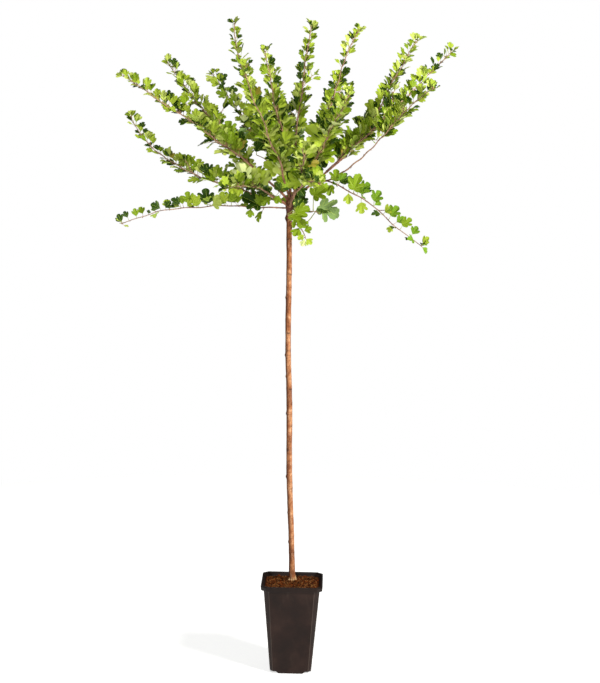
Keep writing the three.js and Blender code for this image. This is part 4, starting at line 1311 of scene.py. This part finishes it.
class Sprays:
    """Grows the real leaves of one mass, round the places where the solids have theirs."""

    def __init__(self, shoot, mass, limbs, names):
        self.shoot, self.mass, self.limbs, self.names = shoot, mass, limbs, names
        self.draw = random_stream(SEEDS["leaves"] + shoot.number)
        self.bag = Bag()
        self.kind = "sparse" if shoot.name in SPARSE else "full"
        self.start = SPARSE_FROM.get(shoot.name, 0)

    def pick(self, share):
        """The tones of a spray: young and yellow at the tips, dark and bluish at the heart."""
        roll = self.draw()
        if roll < CHANCES["blush"]:
            top = "blush"
        else:
            if self.kind == "sparse":
                tones = DEALT[self.shoot.name]
            elif share < INNER and roll < CHANCES["inner"]:
                tones = DEALT["inner"]
            else:
                tones = DEALT["outer" if share > OUTER else "middle"]
            top = tones[int(self.draw() * len(tones))]
        under = "pale" if self.draw() < CHANCES["pale"] else "soft"
        stalk = "pink_stalk" if self.draw() < CHANCES["pink"] else "green_stalk"
        return top, under, stalk

    def leaf(self, place, angle, length, tones, step=0.0):
        draw = self.draw
        out = self.aside(place, angle)
        along = unit(
            place.tangent * STAND["forward"]
            + out * STAND["spread"]
            + UP * STAND["lift"]
            + scatter(draw) * STAND["scatter"]
        )
        facing = (
            UP
            + place.tangent * STAND["face_forward"]
            - out * STAND["face_in"]
            + SUNWARD * STAND["face_sun"]
            + scatter(draw) * STAND["face_scatter"]
        )
        stalk = length * between(draw, *STALK["long" if self.kind == "sparse" else "length"])
        foot = place.point + place.tangent * step
        base = foot + along * (place.radius + stalk)
        blade_way = unit(along + scatter(draw) * STAND["blade_scatter"])
        reach = np.array([base + blade_way * length * share for share in BLADE["tested"]])
        if not self.limbs.clear_of_others(self.shoot, reach):
            return
        self.add_leaf(foot, base, blade_way, facing, length, tones)

    def aside(self, place, angle):
        """The way out from a shoot, off to one side where a leaf would hide it from the front."""
        straight, left, right = (
            outward(place, angle + turn, STAND["light"])
            for turn in (0, -STAND["aside"], STAND["aside"])
        )
        if straight[1] > -STAND["front"]:
            return straight
        return left if left[1] >= right[1] else right

    def add_leaf(self, foot, base, blade_way, facing, length, tones):
        top, under, stem = tones
        looks = [self.names[name] for name in (top, under, "vein")]
        add_stalk(self.bag, foot, base, length, self.names[stem])
        blade_for(length).add(self.bag, base, blade_way, facing, length, self.draw, looks)

    def spray(self, place, angle, size, kind, share):
        """size is that of the one leaf that the solids have, or would have, here."""
        draw, tones = self.draw, self.pick(share)
        rank = (size - LEAF["small"]) / (LEAF["large"] - LEAF["small"])
        size = mix(*REAL[self.kind], rank)
        for number, (scale, turn) in enumerate(SPRAYS[kind]):
            if kind != "tip" and draw() < STAND["missing"]:
                continue
            turn += (draw() - 0.5) * 2 * STAND["turn_scatter"]
            length = size * scale * (1 + (draw() - 0.5) * 2 * STAND["size_scatter"])
            step = (number - 1) * STAND["step"]
            self.leaf(place, angle + math.radians(turn), length, tones, step)
            tones = (PARTNERS[tones[0]], *tones[1:])

    def grow(self):
        for row in LONE.get(self.shoot.name, []):
            self.hang(*row)
        if self.shoot.heart:
            return self
        for site in self.mass.sites:
            place = site["place"]
            share = TWIG["until"] if site["kind"] == "twig" else place.share
            if share > self.start:
                kind = "tip" if site["kind"] == "tip" else self.kind
                self.spray(place, site["angle"], site["size"], kind, share)
        rows = BETWEEN[self.kind]
        frames = self.mass.frames
        count = (len(frames) - 1) * rows
        start, end = frames[0].share, frames[-1].share
        angle = self.draw() * TURN
        for number, place in enumerate(limb_frames(self.shoot.curve, start, end, count)):
            angle += math.radians(LEAF["turn"])
            if number % rows > 0:
                size = mix(LEAF["large"], LEAF["small"], number / count)
                place.radius = self.shoot.radius(place.share)
                kind = "late" if place.share > LATE else "between"
                self.spray(place, angle, size, kind, place.share)
        if self.shoot.name in CLOTHED:
            self.clothe()
        return self

    def hang(self, share, stalk_way, stalk, blade_way, face, length, tone):
        """A single leaf on a stalk of its own."""
        foot = self.shoot.curve.point(share)
        base = foot + unit(np.array(stalk_way)) * stalk
        blade_way, tones = unit(np.array(blade_way)), (tone, "pale", "green_stalk")
        self.add_leaf(foot, base, blade_way, np.array(face), length, tones)

    def clothe(self):
        """A few sprays on the bare stretch near the fork."""
        start, end = CLOTHING["from"] * self.shoot.bare, self.shoot.bare
        count = max(1, round((end - start) * self.shoot.length / CLOTHING["gap"]))
        for place in limb_frames(self.shoot.curve, start, end, count)[:-1]:
            place.radius = self.shoot.radius(place.share)
            size = between(self.draw, LEAF["small"], LEAF["large"])
            self.spray(place, self.draw() * TURN, size, "between", 0)


# ---------------------------------------------------------------- wood


def shoot_wood(shoot, mass):
    """One shoot's bark, from inside its parent to its tip, with its twigs, buds and spines."""
    bag = Bag()
    draw = random_stream(SEEDS["wood"] + shoot.number)
    steps = max(WOOD["fewest_steps"], round(shoot.length / LIMB["step"]))
    frames = limb_frames(shoot.curve, 0, 1, steps)
    nodes = shoot.length / shoot.gap
    radii, ages = [], []
    for place in frames:
        node = math.cos(TURN * place.share * nodes) ** WOOD["swell_power"]
        foot = math.exp(-place.share * shoot.length / WOOD["collar_length"])
        swell = node * WOOD["swell"] + foot * WOOD["collar"]
        radii.append(shoot.radius(place.share) * (1 + swell))
        ages.append(max(0.0, 1 - place.share / WOOD["old_until"]))
    tube(bag, frames, radii, LIMB["sides"], SHOOT_RELIEF, age=ages)
    for curve in mass.twigs:
        twig = limb_frames(curve, 0, 1, WOOD["twig_steps"])
        radii = [mix(TWIG["radius"], TWIG["tip_radius"], place.share) for place in twig]
        tube(bag, twig, radii, WOOD["twig_sides"], age=0.0)
    for place in frames[:: max(1, round(shoot.gap / LIMB["step"]))][1:]:
        add_bud(bag, place, shoot.radius(place.share), draw)
    return bag


def add_bud(bag, place, radius, draw):
    """A small pointed bud, with a spine under it now and then."""
    angle = draw() * TURN
    out = place.side * math.cos(angle) + place.over * math.sin(angle)
    foot = place.point + out * radius * BUD["sunk"]
    length = between(draw, *BUD["length"])
    way = unit(out + place.tangent * BUD["forward"])
    cone(bag, foot, way, length, length * BUD["width"])
    if draw() < BUD["spined"]:
        foot = foot - place.tangent * BUD["spine_below"]
        way = unit(out - place.tangent * BUD["spine_back"])
        cone(bag, foot, way, length * BUD["spine"], BUD["spine_radius"])


def cone(bag, foot, way, length, radius):
    frames = [Frame(foot + way * length * share, way, beside(way)) for share, _ in CONE]
    tube(bag, frames, [radius * width for _, width in CONE], CONE_SIDES, age=1.0)


def hump(across, width, up, height):
    return np.exp(-(across**2) / width**2 - (up / height) ** 2)


def knot_marks(azimuths, radius, height):
    """How far the knots raise one ring of the stem, and how dark it is painted under them, partly
    as scars and partly as shade.
    """
    rise, scar = np.zeros(len(azimuths)), np.zeros(len(azimuths))
    for level, azimuth, size, darkness in KNOTS:
        up = height - level
        if abs(up) > KNOT["within"]:
            continue
        turn = (azimuths - azimuth + 180) % 360 - 180
        across = np.radians(turn) * radius
        rise += hump(across, KNOT["width"] * size, up, KNOT["height"] * size) * size * KNOT["rise"]
        ridge = math.exp(-((up / KNOT["ridge_height"]) ** 2)) * KNOT["ridge"]
        rise += ridge * mix(KNOT["ridge_behind"], 1, np.exp(-((turn / KNOT["ridge_turn"]) ** 2)))
        # The dark mark sits below the knot's middle, where its painted shade falls.
        below = up + KNOT["mark_below"] * size
        dark = hump(across, KNOT["mark_width"] * size, below, KNOT["mark_height"] * size)
        scar = np.maximum(scar, darkness * dark)
    return rise, scar


def trunk_wood(curve):
    """The stem's bark, with its knots and the dark marks under them, partly scars and partly
    painted shade, its graft union and painted shade down one side.
    """
    bag = Bag()
    bottom = TRUNK["offcut"] / curve.length
    frames = limb_frames(curve, bottom * STEM_ENDS["foot"], 1, round(curve.length / TRUNK["step"]))
    angles = np.arange(TRUNK["sides"]) * TURN / TRUNK["sides"]
    rings, scars_and_shade, grafts, painted_shades = [], [], [], []
    for place in frames:
        radius, height = trunk_radius(place.share), place.point[2]
        ways = np.outer(np.cos(angles), place.side) + np.outer(np.sin(angles), place.over)
        ring = place.point + ways * radius
        azimuths = np.degrees(np.arctan2(ways[:, 1], ways[:, 0]))
        rise, scar = knot_marks(azimuths, radius, height)
        rings.append(ring + ways * (bark_relief(ring, STEM_RELIEF) + rise)[:, None])
        scars_and_shade.append(scar)
        # Painted shade, strongest on the side that faces this azimuth and made uneven by noise.
        facing = np.cos(np.radians(azimuths - SHADED_SIDE["side"]))
        patches = SHADED_SIDE["patchy"] * grain(ring, *SHADED_SIDE_NOISE)
        painted_shades.append(smooth(0.0, SHADED_SIDE["full"], facing + patches))
        graft = math.exp(-(((height - GRAFT["height"]) / GRAFT["spread"]) ** 2))
        patches = GRAFT["patchy"] * graft * grain(ring, *GRAFT_NOISE)
        grafts.append(np.clip(graft * GRAFT["strength"] + patches, 0, 1) * GRAFT["darkest"])
    crest = frames[-1].point + frames[-1].tangent * STEM_ENDS["crest"] * trunk_radius(1.0)
    marks = {"scar": scars_and_shade, "graft": grafts, "weather": painted_shades}
    loft(bag, frames[0].point, rings, crest, **marks)
    return bag


def collar_flakes():
    """Pale flakes of old bark that fray away from the stem where it enters the compost."""
    bag = Bag()
    draw = random_stream(SEEDS["flakes"])
    foot = TRUNK["foot"]
    for number in range(COLLAR["count"]):
        angle = (number + draw() * COLLAR["spacing"]) * TURN / COLLAR["count"]
        out = np.array([math.cos(angle), math.sin(angle), 0.0])
        length = between(draw, *COLLAR["length"])
        side = unit(np.cross(UP, out))
        frames = []
        for share in np.linspace(0, 1, len(COLLAR_TAPER)):
            height = foot[2] + COLLAR["from"] + length * share
            fray = COLLAR["fray"] * (1 - share) ** 2 * (COLLAR["fray_least"] + draw())
            gap = trunk_radius(trunk_share(height)) + COLLAR["gap"] + fray
            point = np.array([foot[0], foot[1], height]) + out * gap
            frames.append(Frame(point, UP, side))
        widths = [COLLAR["width"] * width for width in COLLAR_TAPER]
        tube(bag, frames, widths, COLLAR["sides"], scar=0.0, graft=0.0, weather=0.0)
    return bag


# ---------------------------------------------------------------- pot and compost

HALF_SIDE = [0.2, 0.4, 0.58, 0.65, 0.72, 0.78, 0.88, 0.95]
SIDE_SHARES = [*(-share for share in reversed(HALF_SIDE)), 0.0, *HALF_SIDE]
EDGE = {"radius": 0.0018, "steps": 4}  # rounding of the two long edges of each cut corner
POT_EDGE_HIGHLIGHT = 0.55  # how pale the painted highlight down the long edges is
# The skin of the pot in rings. Underside: narrower than the foot, height, rise of the corners.
UNDERSIDE = [
    (0.05, 0.0012, 0.0), (0.04, 0.0012, 0.001), (0.008, 0.0012, 0.0042), (0.005, 0.0003, 0.005),
    (0.0016, 0.0, 0.005), (0.0, 0.0008, 0.005),
]
# Heights up the sides, narrower than the foot of the band and how far above it, and narrower
# than the rim and how far below its top.
SIDE_LEVELS = [0.008, 0.014, 0.04, 0.08, 0.12, 0.16, 0.19, 0.206]
BAND_FOOT = [(0.003, 0.0), (0.0006, 0.0003), (0.0, 0.0012)]
RIM_PROFILE = [
    (0.0004, 0.0035), (0.0, 0.0016), (0.0007, 0.0004), (0.002, 0.0), (0.0056, 0.0001),
    (0.0068, 0.0008), (0.008, 0.0022), (0.011, 0.0052),
]
INSIDE_LEVELS = [0.18, 0.1, 0.02]
UNDER_BAND = 0.0006  # how far under the band the side ends
UNDER_RIM = 0.0072  # how far under the rim the inside begins
FLOOR_MIDDLE = 0.5  # a ring of the floor, as a share of the foot
# Heights of the compost in the pot with shares of its full width, and how far under its surface
# the sides of it end.
BED_LEVELS = [(0.012, 0.4), (0.012, 1.0), (0.1, 1.0)]
BED_SHOULDER = 0.012


def corner_points(half, inner):
    """A cut corner from one side of the square to the next, with its two edges rounded."""
    first, last = np.array([half, inner]), np.array([inner, half])
    across = unit(last - first)
    points = []
    for edge, before, after in (
        (first, np.array([0.0, 1.0]), across), (last, across, np.array([-1.0, 0.0])),
    ):
        reach = EDGE["radius"]
        start, end = edge - before * reach, edge + after * reach
        for step in range(EDGE["steps"] + 1):
            t = step / EDGE["steps"]
            points.append((1 - t) ** 2 * start + 2 * (1 - t) * t * edge + t * t * end)
    return points


def edge_highlight():
    """How much painted highlight each point of a pot's ring gets: only the long edges of its
    corners get any.
    """
    painted_lighting = [1.0 if step * 2 == EDGE["steps"] else 0.0 for step in range(EDGE["steps"] + 1)]
    return ([0.0] * len(SIDE_SHARES) + painted_lighting * 2) * 4


def square_outline(width, corner, bow=0.0):
    """A square with cut corners: points, and how far each is raised as part of a corner."""
    half = width / 2
    inner = half - corner
    points, raised = [], []
    for quarter in range(4):
        turn = quarter * math.pi / 2
        spin = np.array([[math.cos(turn), -math.sin(turn)], [math.sin(turn), math.cos(turn)]])
        for share in SIDE_SHARES:
            dent = bow * (1 - share * share)
            along = share * (inner - EDGE["radius"])
            points.append(spin @ np.array([half - dent, along]))
            raised.append(float(smooth(POT["drain_from"], POT["drain_to"], abs(along) / half)))
        for point in corner_points(half, inner):
            points.append(spin @ point)
            raised.append(1.0)
    return np.array(points), np.array(raised)


def body_width(z):
    return mix(POT["foot"], POT["body_top"], z / POT["height"])


def body_corner(z):
    return mix(POT["corner_foot"], POT["corner_top"], z / POT["height"])


def pot_rings():
    """The pot's skin from under its floor, up the outside, over the rim and down the inside."""
    height, band = POT["height"], POT["height"] - POT["band"]
    foot, foot_corner = POT["foot"], POT["corner_foot"]
    rim, rim_corner = POT["rim"], POT["corner_top"]
    thin = 2 * POT["wall"]

    def ring(width, corner, z, rise=0.0, bow=0.0):
        outline, raised = square_outline(width, corner, bow)
        return np.column_stack([outline, z + raised * rise])

    rings = [ring(foot - less, foot_corner, z, rise) for less, z, rise in UNDERSIDE]
    for z in SIDE_LEVELS:
        bow = POT["bow"] * math.sin(math.pi * z / height)
        rings.append(ring(body_width(z), body_corner(z), z, 0.0, bow))
    rings.append(ring(body_width(band), body_corner(band), band - UNDER_BAND))
    lower = rim - POT["band_taper"]
    rings += [ring(lower - less, rim_corner, band + above) for less, above in BAND_FOOT]
    rings += [ring(rim - less, rim_corner, height - below) for less, below in RIM_PROFILE]
    rings.append(ring(body_width(height) - thin, rim_corner, height - UNDER_RIM))
    rings += [ring(body_width(z) - thin, body_corner(z), z) for z in INSIDE_LEVELS]
    floor = POT["floor"]
    rings.append(ring(body_width(floor) - thin, foot_corner, floor, POT["drain_height"]))
    rings.append(ring(foot * FLOOR_MIDDLE, foot_corner, floor))
    return rings


def loft_rings(bag, rings, **values):
    loft(bag, rings[0].mean(axis=0), rings, rings[-1].mean(axis=0), **values)


def pot_shell():
    """The pot. A painted highlight runs down its long edges above the underside, and painted shade
    darkens its band, rim and inside.
    """
    bag = Bag()
    rings = pot_rings()
    sides = range(len(UNDERSIDE), len(UNDERSIDE) + len(SIDE_LEVELS) + 1)
    plain, painted_lighting = np.zeros(len(rings[0])), POT_EDGE_HIGHLIGHT * np.array(edge_highlight())
    highlight_rows = [painted_lighting if number in sides else plain for number in range(len(rings))]
    # Painted shade on the rings from the band up over the rim and down the inside.
    band = [plain + (number > sides.stop) for number in range(len(rings))]
    loft_rings(bag, rings, edge=highlight_rows, band=band)
    return bag


def soil_height(x, y):
    foot = TRUNK["foot"]
    away = math.hypot(x - foot[0], y - foot[1])
    mound = SOIL["mound"] * (1 - smooth(SOIL["mound_top"], SOIL["mound_radius"], away))
    scale = SOIL["lump_scale"]
    spot = Vector((x * scale, y * scale, SOIL["lump_level"]))
    lumps = noise.fractal(spot, *SOIL["lump_noise"]) * SOIL["lump"]
    return POT["height"] - SOIL["below_rim"] + mound + lumps - SOIL["sunk"]


def compost_body():
    bag = Bag()
    edge = POT["height"] - SOIL["below_rim"]
    thin = 2 * (POT["wall"] + SOIL["gap"])
    rings = []
    for z, share in (*BED_LEVELS, (edge - BED_SHOULDER, 1.0)):
        outline, _ = square_outline((body_width(z) - thin) * share, body_corner(z))
        rings.append(np.column_stack([outline, np.full(len(outline), z)]))
    outline, _ = square_outline(body_width(edge) - thin, body_corner(edge))
    for step in range(SOIL["rings"]):
        ring = outline * (1 - step / SOIL["rings"])
        rings.append(np.column_stack([ring, [soil_height(x, y) for x, y in ring]]))
    loft_rings(bag, rings)
    return bag


CHIPS = {
    "count": 1500,
    "length": (0.0016, 0.0062),
    "small": 2.2,  # the higher this power, the more of them are small
    "wide": (0.45, 0.85),  # width and thickness against the length
    "thick": (0.3, 0.6),
    "uneven": 0.35,
    "tilt": 50,  # range of their slopes, in degrees
    "lift": 0.25,  # how far their middles are raised at most, as a share of their length
    "looks": 3.999,  # just short of the count of their looks
    "edge": 0.0625,  # how far out they lie, at the sides and at the cut corners
    "corner": 0.112,
    "off_stem": 0.0105,
}
STRANDS = {
    "count": 90,
    "length": (0.008, 0.022),
    "radius": 0.00035,
    "points": 6,
    "sides": 4,
    "lift": 0.0012,
    "tilt": 24,  # range of their slopes, in degrees
    "downward": 0.35,  # share of them that point down
    "bend": 0.5,
    "below_rim": 0.002,
    "look": 3,  # the last of the crumbs' looks
}
BOX = [(x, y, z) for z in (-1, 1) for x, y in ((-1, -1), (1, -1), (1, 1), (-1, 1))]
BOX_FACES = [(0, 3, 2, 1), (4, 5, 6, 7), (0, 1, 5, 4), (1, 2, 6, 5), (2, 3, 7, 6), (3, 0, 4, 7)]


def free_spot(draw):
    """A place on the compost, off the stem and inside the cut corners."""
    while True:
        x = between(draw, -CHIPS["edge"], CHIPS["edge"])
        y = between(draw, -CHIPS["edge"], CHIPS["edge"])
        from_stem = math.hypot(x - TRUNK["foot"][0], y - TRUNK["foot"][1])
        if abs(x) + abs(y) < CHIPS["corner"] and from_stem > CHIPS["off_stem"]:
            return x, y


def add_chip(bag, draw):
    """One crumb of bark, an uneven block in one of the four looks."""
    x, y = free_spot(draw)
    length = mix(*CHIPS["length"], draw() ** CHIPS["small"])
    width = length * between(draw, *CHIPS["wide"])
    thickness = length * between(draw, *CHIPS["thick"])
    rough = np.array([[draw() for _ in range(3)] for _ in BOX])
    corners = np.array(BOX) * (1 - CHIPS["uneven"] * rough)
    long_way = unit(direction(draw() * 360, (draw() - 0.5) * CHIPS["tilt"]))
    flat_way = unit(np.cross(long_way, scatter(draw) + UP * 0.001))
    third = np.cross(long_way, flat_way)
    if abs(third[2]) < abs(flat_way[2]):
        flat_way, third = third, flat_way
    sizes = np.array([length, width, thickness])
    corners = corners * sizes / 2 @ np.array([long_way, flat_way, third])
    centre = np.array([x, y, soil_height(x, y) + CHIPS["lift"] * length * draw()])
    bag.add(centre + corners, BOX_FACES, int(draw() * CHIPS["looks"]))


def add_strand(bag, draw):
    """One loose fibre that lies on the compost, a little bent."""
    x, y = free_spot(draw)
    way = direction(draw() * 360, (draw() - STRANDS["downward"]) * STRANDS["tilt"])
    bend = scatter(draw) * STRANDS["bend"]
    length = between(draw, *STRANDS["length"])
    centre = np.array([x, y, soil_height(x, y) + STRANDS["lift"]])
    frames = []
    for share in np.linspace(-0.5, 0.5, STRANDS["points"]):
        point = centre + way * share * length + bend * share * share * length
        point[:2] = np.clip(point[:2], -CHIPS["edge"], CHIPS["edge"])
        point[2] = min(point[2], POT["height"] - STRANDS["below_rim"])
        frames.append(Frame(point, way, beside(way)))
    radii = [STRANDS["radius"]] * STRANDS["points"]
    tube(bag, frames, radii, STRANDS["sides"], look=STRANDS["look"])


def compost_crumbs():
    bag = Bag()
    draw = random_stream(SEEDS["crumbs"])
    for _ in range(CHIPS["count"]):
        add_chip(bag, draw)
    for _ in range(STRANDS["count"]):
        add_strand(bag, draw)
    return bag


# ---------------------------------------------------------------- the plant


def settle(piece, slot, *nodes):
    """Hands one finished piece over to its body, and hides the nodes that it stands for. Its slot
    is not used.
    """
    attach(piece, BODY)
    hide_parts(*nodes)
    return piece


def make_pot():
    settle(pot_shell().piece("pot_shell", [pot_plastic()]), "pot_plastic", "pot")
    bed = compost("compost_bed", (38, 15, 4), (74, 34, 11), (98, 52, 20))
    settle(compost_body().piece("compost_bed", [bed]), "compost", "soil")
    crumbs = [
        compost("crumb_dark", (28, 13, 5), (46, 22, 9), (66, 34, 14), 420),
        compost("crumb_red", (78, 32, 8), (108, 48, 14), (134, 66, 24), 420),
        compost("crumb_brown", (52, 26, 10), (80, 42, 16), (104, 58, 26), 420),
        compost("crumb_fibre", (92, 58, 28), (124, 82, 44), (150, 106, 62), 420),
    ]
    settle(compost_crumbs().piece("compost_crumbs", crumbs), "compost", "soil")


def make_plant():
    """The stem, and each shoot's wood and leaves."""
    trunk = Curve(trunk_point, DIVISIONS["trunk"])
    settle(trunk_wood(trunk).piece("stem", [stem_bark()]), "stem_bark", "trunk")
    flake = compost("collar_flake", (176, 132, 88), (214, 176, 128), (236, 208, 164), 500)
    settle(collar_flakes().piece("stem_collar", [flake]), "stem_bark", "trunk")
    shoots = grow_shoots(trunk)
    limbs = Limbs(trunk, shoots)
    bark = shoot_bark()
    leaf_looks, look_numbers = leaf_materials()
    for name, shoot in shoots.items():
        mass = Mass(shoot, limbs).grow()
        nodes = [f"foliage_{name}"]
        wood_nodes = nodes if shoot.heart else [f"bough_{name}", *nodes]
        wood = shoot_wood(shoot, mass).piece(f"shoot_{name}", [bark])
        settle(wood, "shoot_bark", *wood_nodes)
        sprays = Sprays(shoot, mass, limbs, look_numbers).grow()
        settle(sprays.bag.piece(f"leaves_{name}", leaf_looks), "leaf", *nodes)


# ---------------------------------------------------------------- floor, light and camera

FLOOR = {"radius": 2.4, "sides": 96, "rings": 6, "colour": (236, 236, 234), "glow": 0.6}
# The plain white surroundings are seen at full strength and give a softer light than that.
WORLD = {"seen": 1.0, "light": 0.12}
# name, place, what it looks at, size, power, colour
LIGHTS = [
    ("key", (2.4, -2.1, 2.4), (0.0, 0.0, 1.0), 0.8, 144, (1.0, 0.98, 0.95)),
    ("fill", (-0.5, -3.6, 2.1), (0.0, 0.0, 1.1), 1.2, 64, (0.98, 0.99, 1.0)),
    ("back", (-0.8, 2.2, 2.6), (0.0, 0.0, 1.2), 1.4, 20, (1.0, 1.0, 1.0)),
]
CAMERA = {
    "place": (0.081364, -3.803214, 1.253647),
    "yaw": -0.019,
    "pitch": -0.116,
    "roll": 0.0168,
    "lens": 83.71,
    "sensor": 36.0,
    "clip": (0.05, 200.0),
}


def make_floor():
    bag = Bag()
    sides, rings = FLOOR["sides"], FLOOR["rings"]
    points, faces = [(0.0, 0.0, 0.0)], []
    for ring in range(1, rings + 1):
        for i in range(sides):
            angle, radius = i / sides * TURN, FLOOR["radius"] * ring / rings
            points.append((radius * math.cos(angle), radius * math.sin(angle), 0.0))
    for i in range(sides):
        j = (i + 1) % sides
        faces.append((0, 1 + i, 1 + j))
        for ring in range(rings - 1):
            a, b = 1 + ring * sides, 1 + (ring + 1) * sides
            faces.append((a + i, b + i, b + j, a + j))
    bag.add(points, faces)
    look = Look("studio_floor", FLOOR["colour"], 0.9, 0.1)
    look.shader.inputs["Emission Color"].default_value = (1.0, 1.0, 1.0, 1.0)
    look.shader.inputs["Emission Strength"].default_value = FLOOR["glow"]
    bag.piece("studio_floor", [look.material])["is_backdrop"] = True


def make_lights():
    world = bpy.data.worlds.new("studio")
    bpy.context.scene.world = world
    world.use_nodes = True
    tree = world.node_tree
    lit = next(n for n in tree.nodes if n.type == "BACKGROUND")
    output = next(n for n in tree.nodes if n.type == "OUTPUT_WORLD")
    seen = tree.nodes.new("ShaderNodeBackground")
    for sky, strength in ((lit, WORLD["light"]), (seen, WORLD["seen"])):
        sky.inputs["Color"].default_value = (1.0, 1.0, 1.0, 1.0)
        sky.inputs["Strength"].default_value = strength
    blend = tree.nodes.new("ShaderNodeMixShader")
    path = tree.nodes.new("ShaderNodeLightPath")
    tree.links.new(path.outputs["Is Camera Ray"], blend.inputs[0])
    tree.links.new(lit.outputs[0], blend.inputs[1])
    tree.links.new(seen.outputs[0], blend.inputs[2])
    tree.links.new(blend.outputs[0], output.inputs["Surface"])
    for name, place, aim, size, power, colour in LIGHTS:
        data = bpy.data.lights.new(name, "AREA")
        data.shape, data.size, data.energy, data.color = "DISK", size, power, colour
        lamp = bpy.data.objects.new(name, data)
        lamp.location = place
        lamp.rotation_euler = (Vector(aim) - Vector(place)).to_track_quat("-Z", "Y").to_euler()
        bpy.context.scene.collection.objects.link(lamp)


def make_camera():
    data = bpy.data.cameras.new("camera")
    data.sensor_width, data.lens = CAMERA["sensor"], CAMERA["lens"]
    data.clip_start, data.clip_end = CAMERA["clip"]
    camera = bpy.data.objects.new("camera", data)
    yaw, pitch, roll = CAMERA["yaw"], CAMERA["pitch"], CAMERA["roll"]
    forward = np.array([
        math.sin(yaw) * math.cos(pitch), math.cos(yaw) * math.cos(pitch), math.sin(pitch),
    ])
    level = np.array([math.cos(yaw), -math.sin(yaw), 0.0])
    upright = np.cross(level, forward)
    right = math.cos(roll) * level + math.sin(roll) * upright
    up = -math.sin(roll) * level + math.cos(roll) * upright
    columns = [*map(Vector, (right, up, -forward)), Vector(CAMERA["place"])]
    matrix = camera.matrix_world.copy()
    for number, column in enumerate(columns):
        for row in range(3):
            matrix[row][number] = column[row]
    camera.matrix_world = matrix
    bpy.context.scene.collection.objects.link(camera)
    bpy.context.scene.camera = camera


make_pot()
make_plant()
make_floor()
make_lights()
make_camera()
bpy.context.scene.view_settings.view_transform = "Standard"

boxes = {"cad": CAD_BOX, "visual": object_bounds()}
sizes = {name: [list(corner) for corner in box] for name, box in boxes.items()}
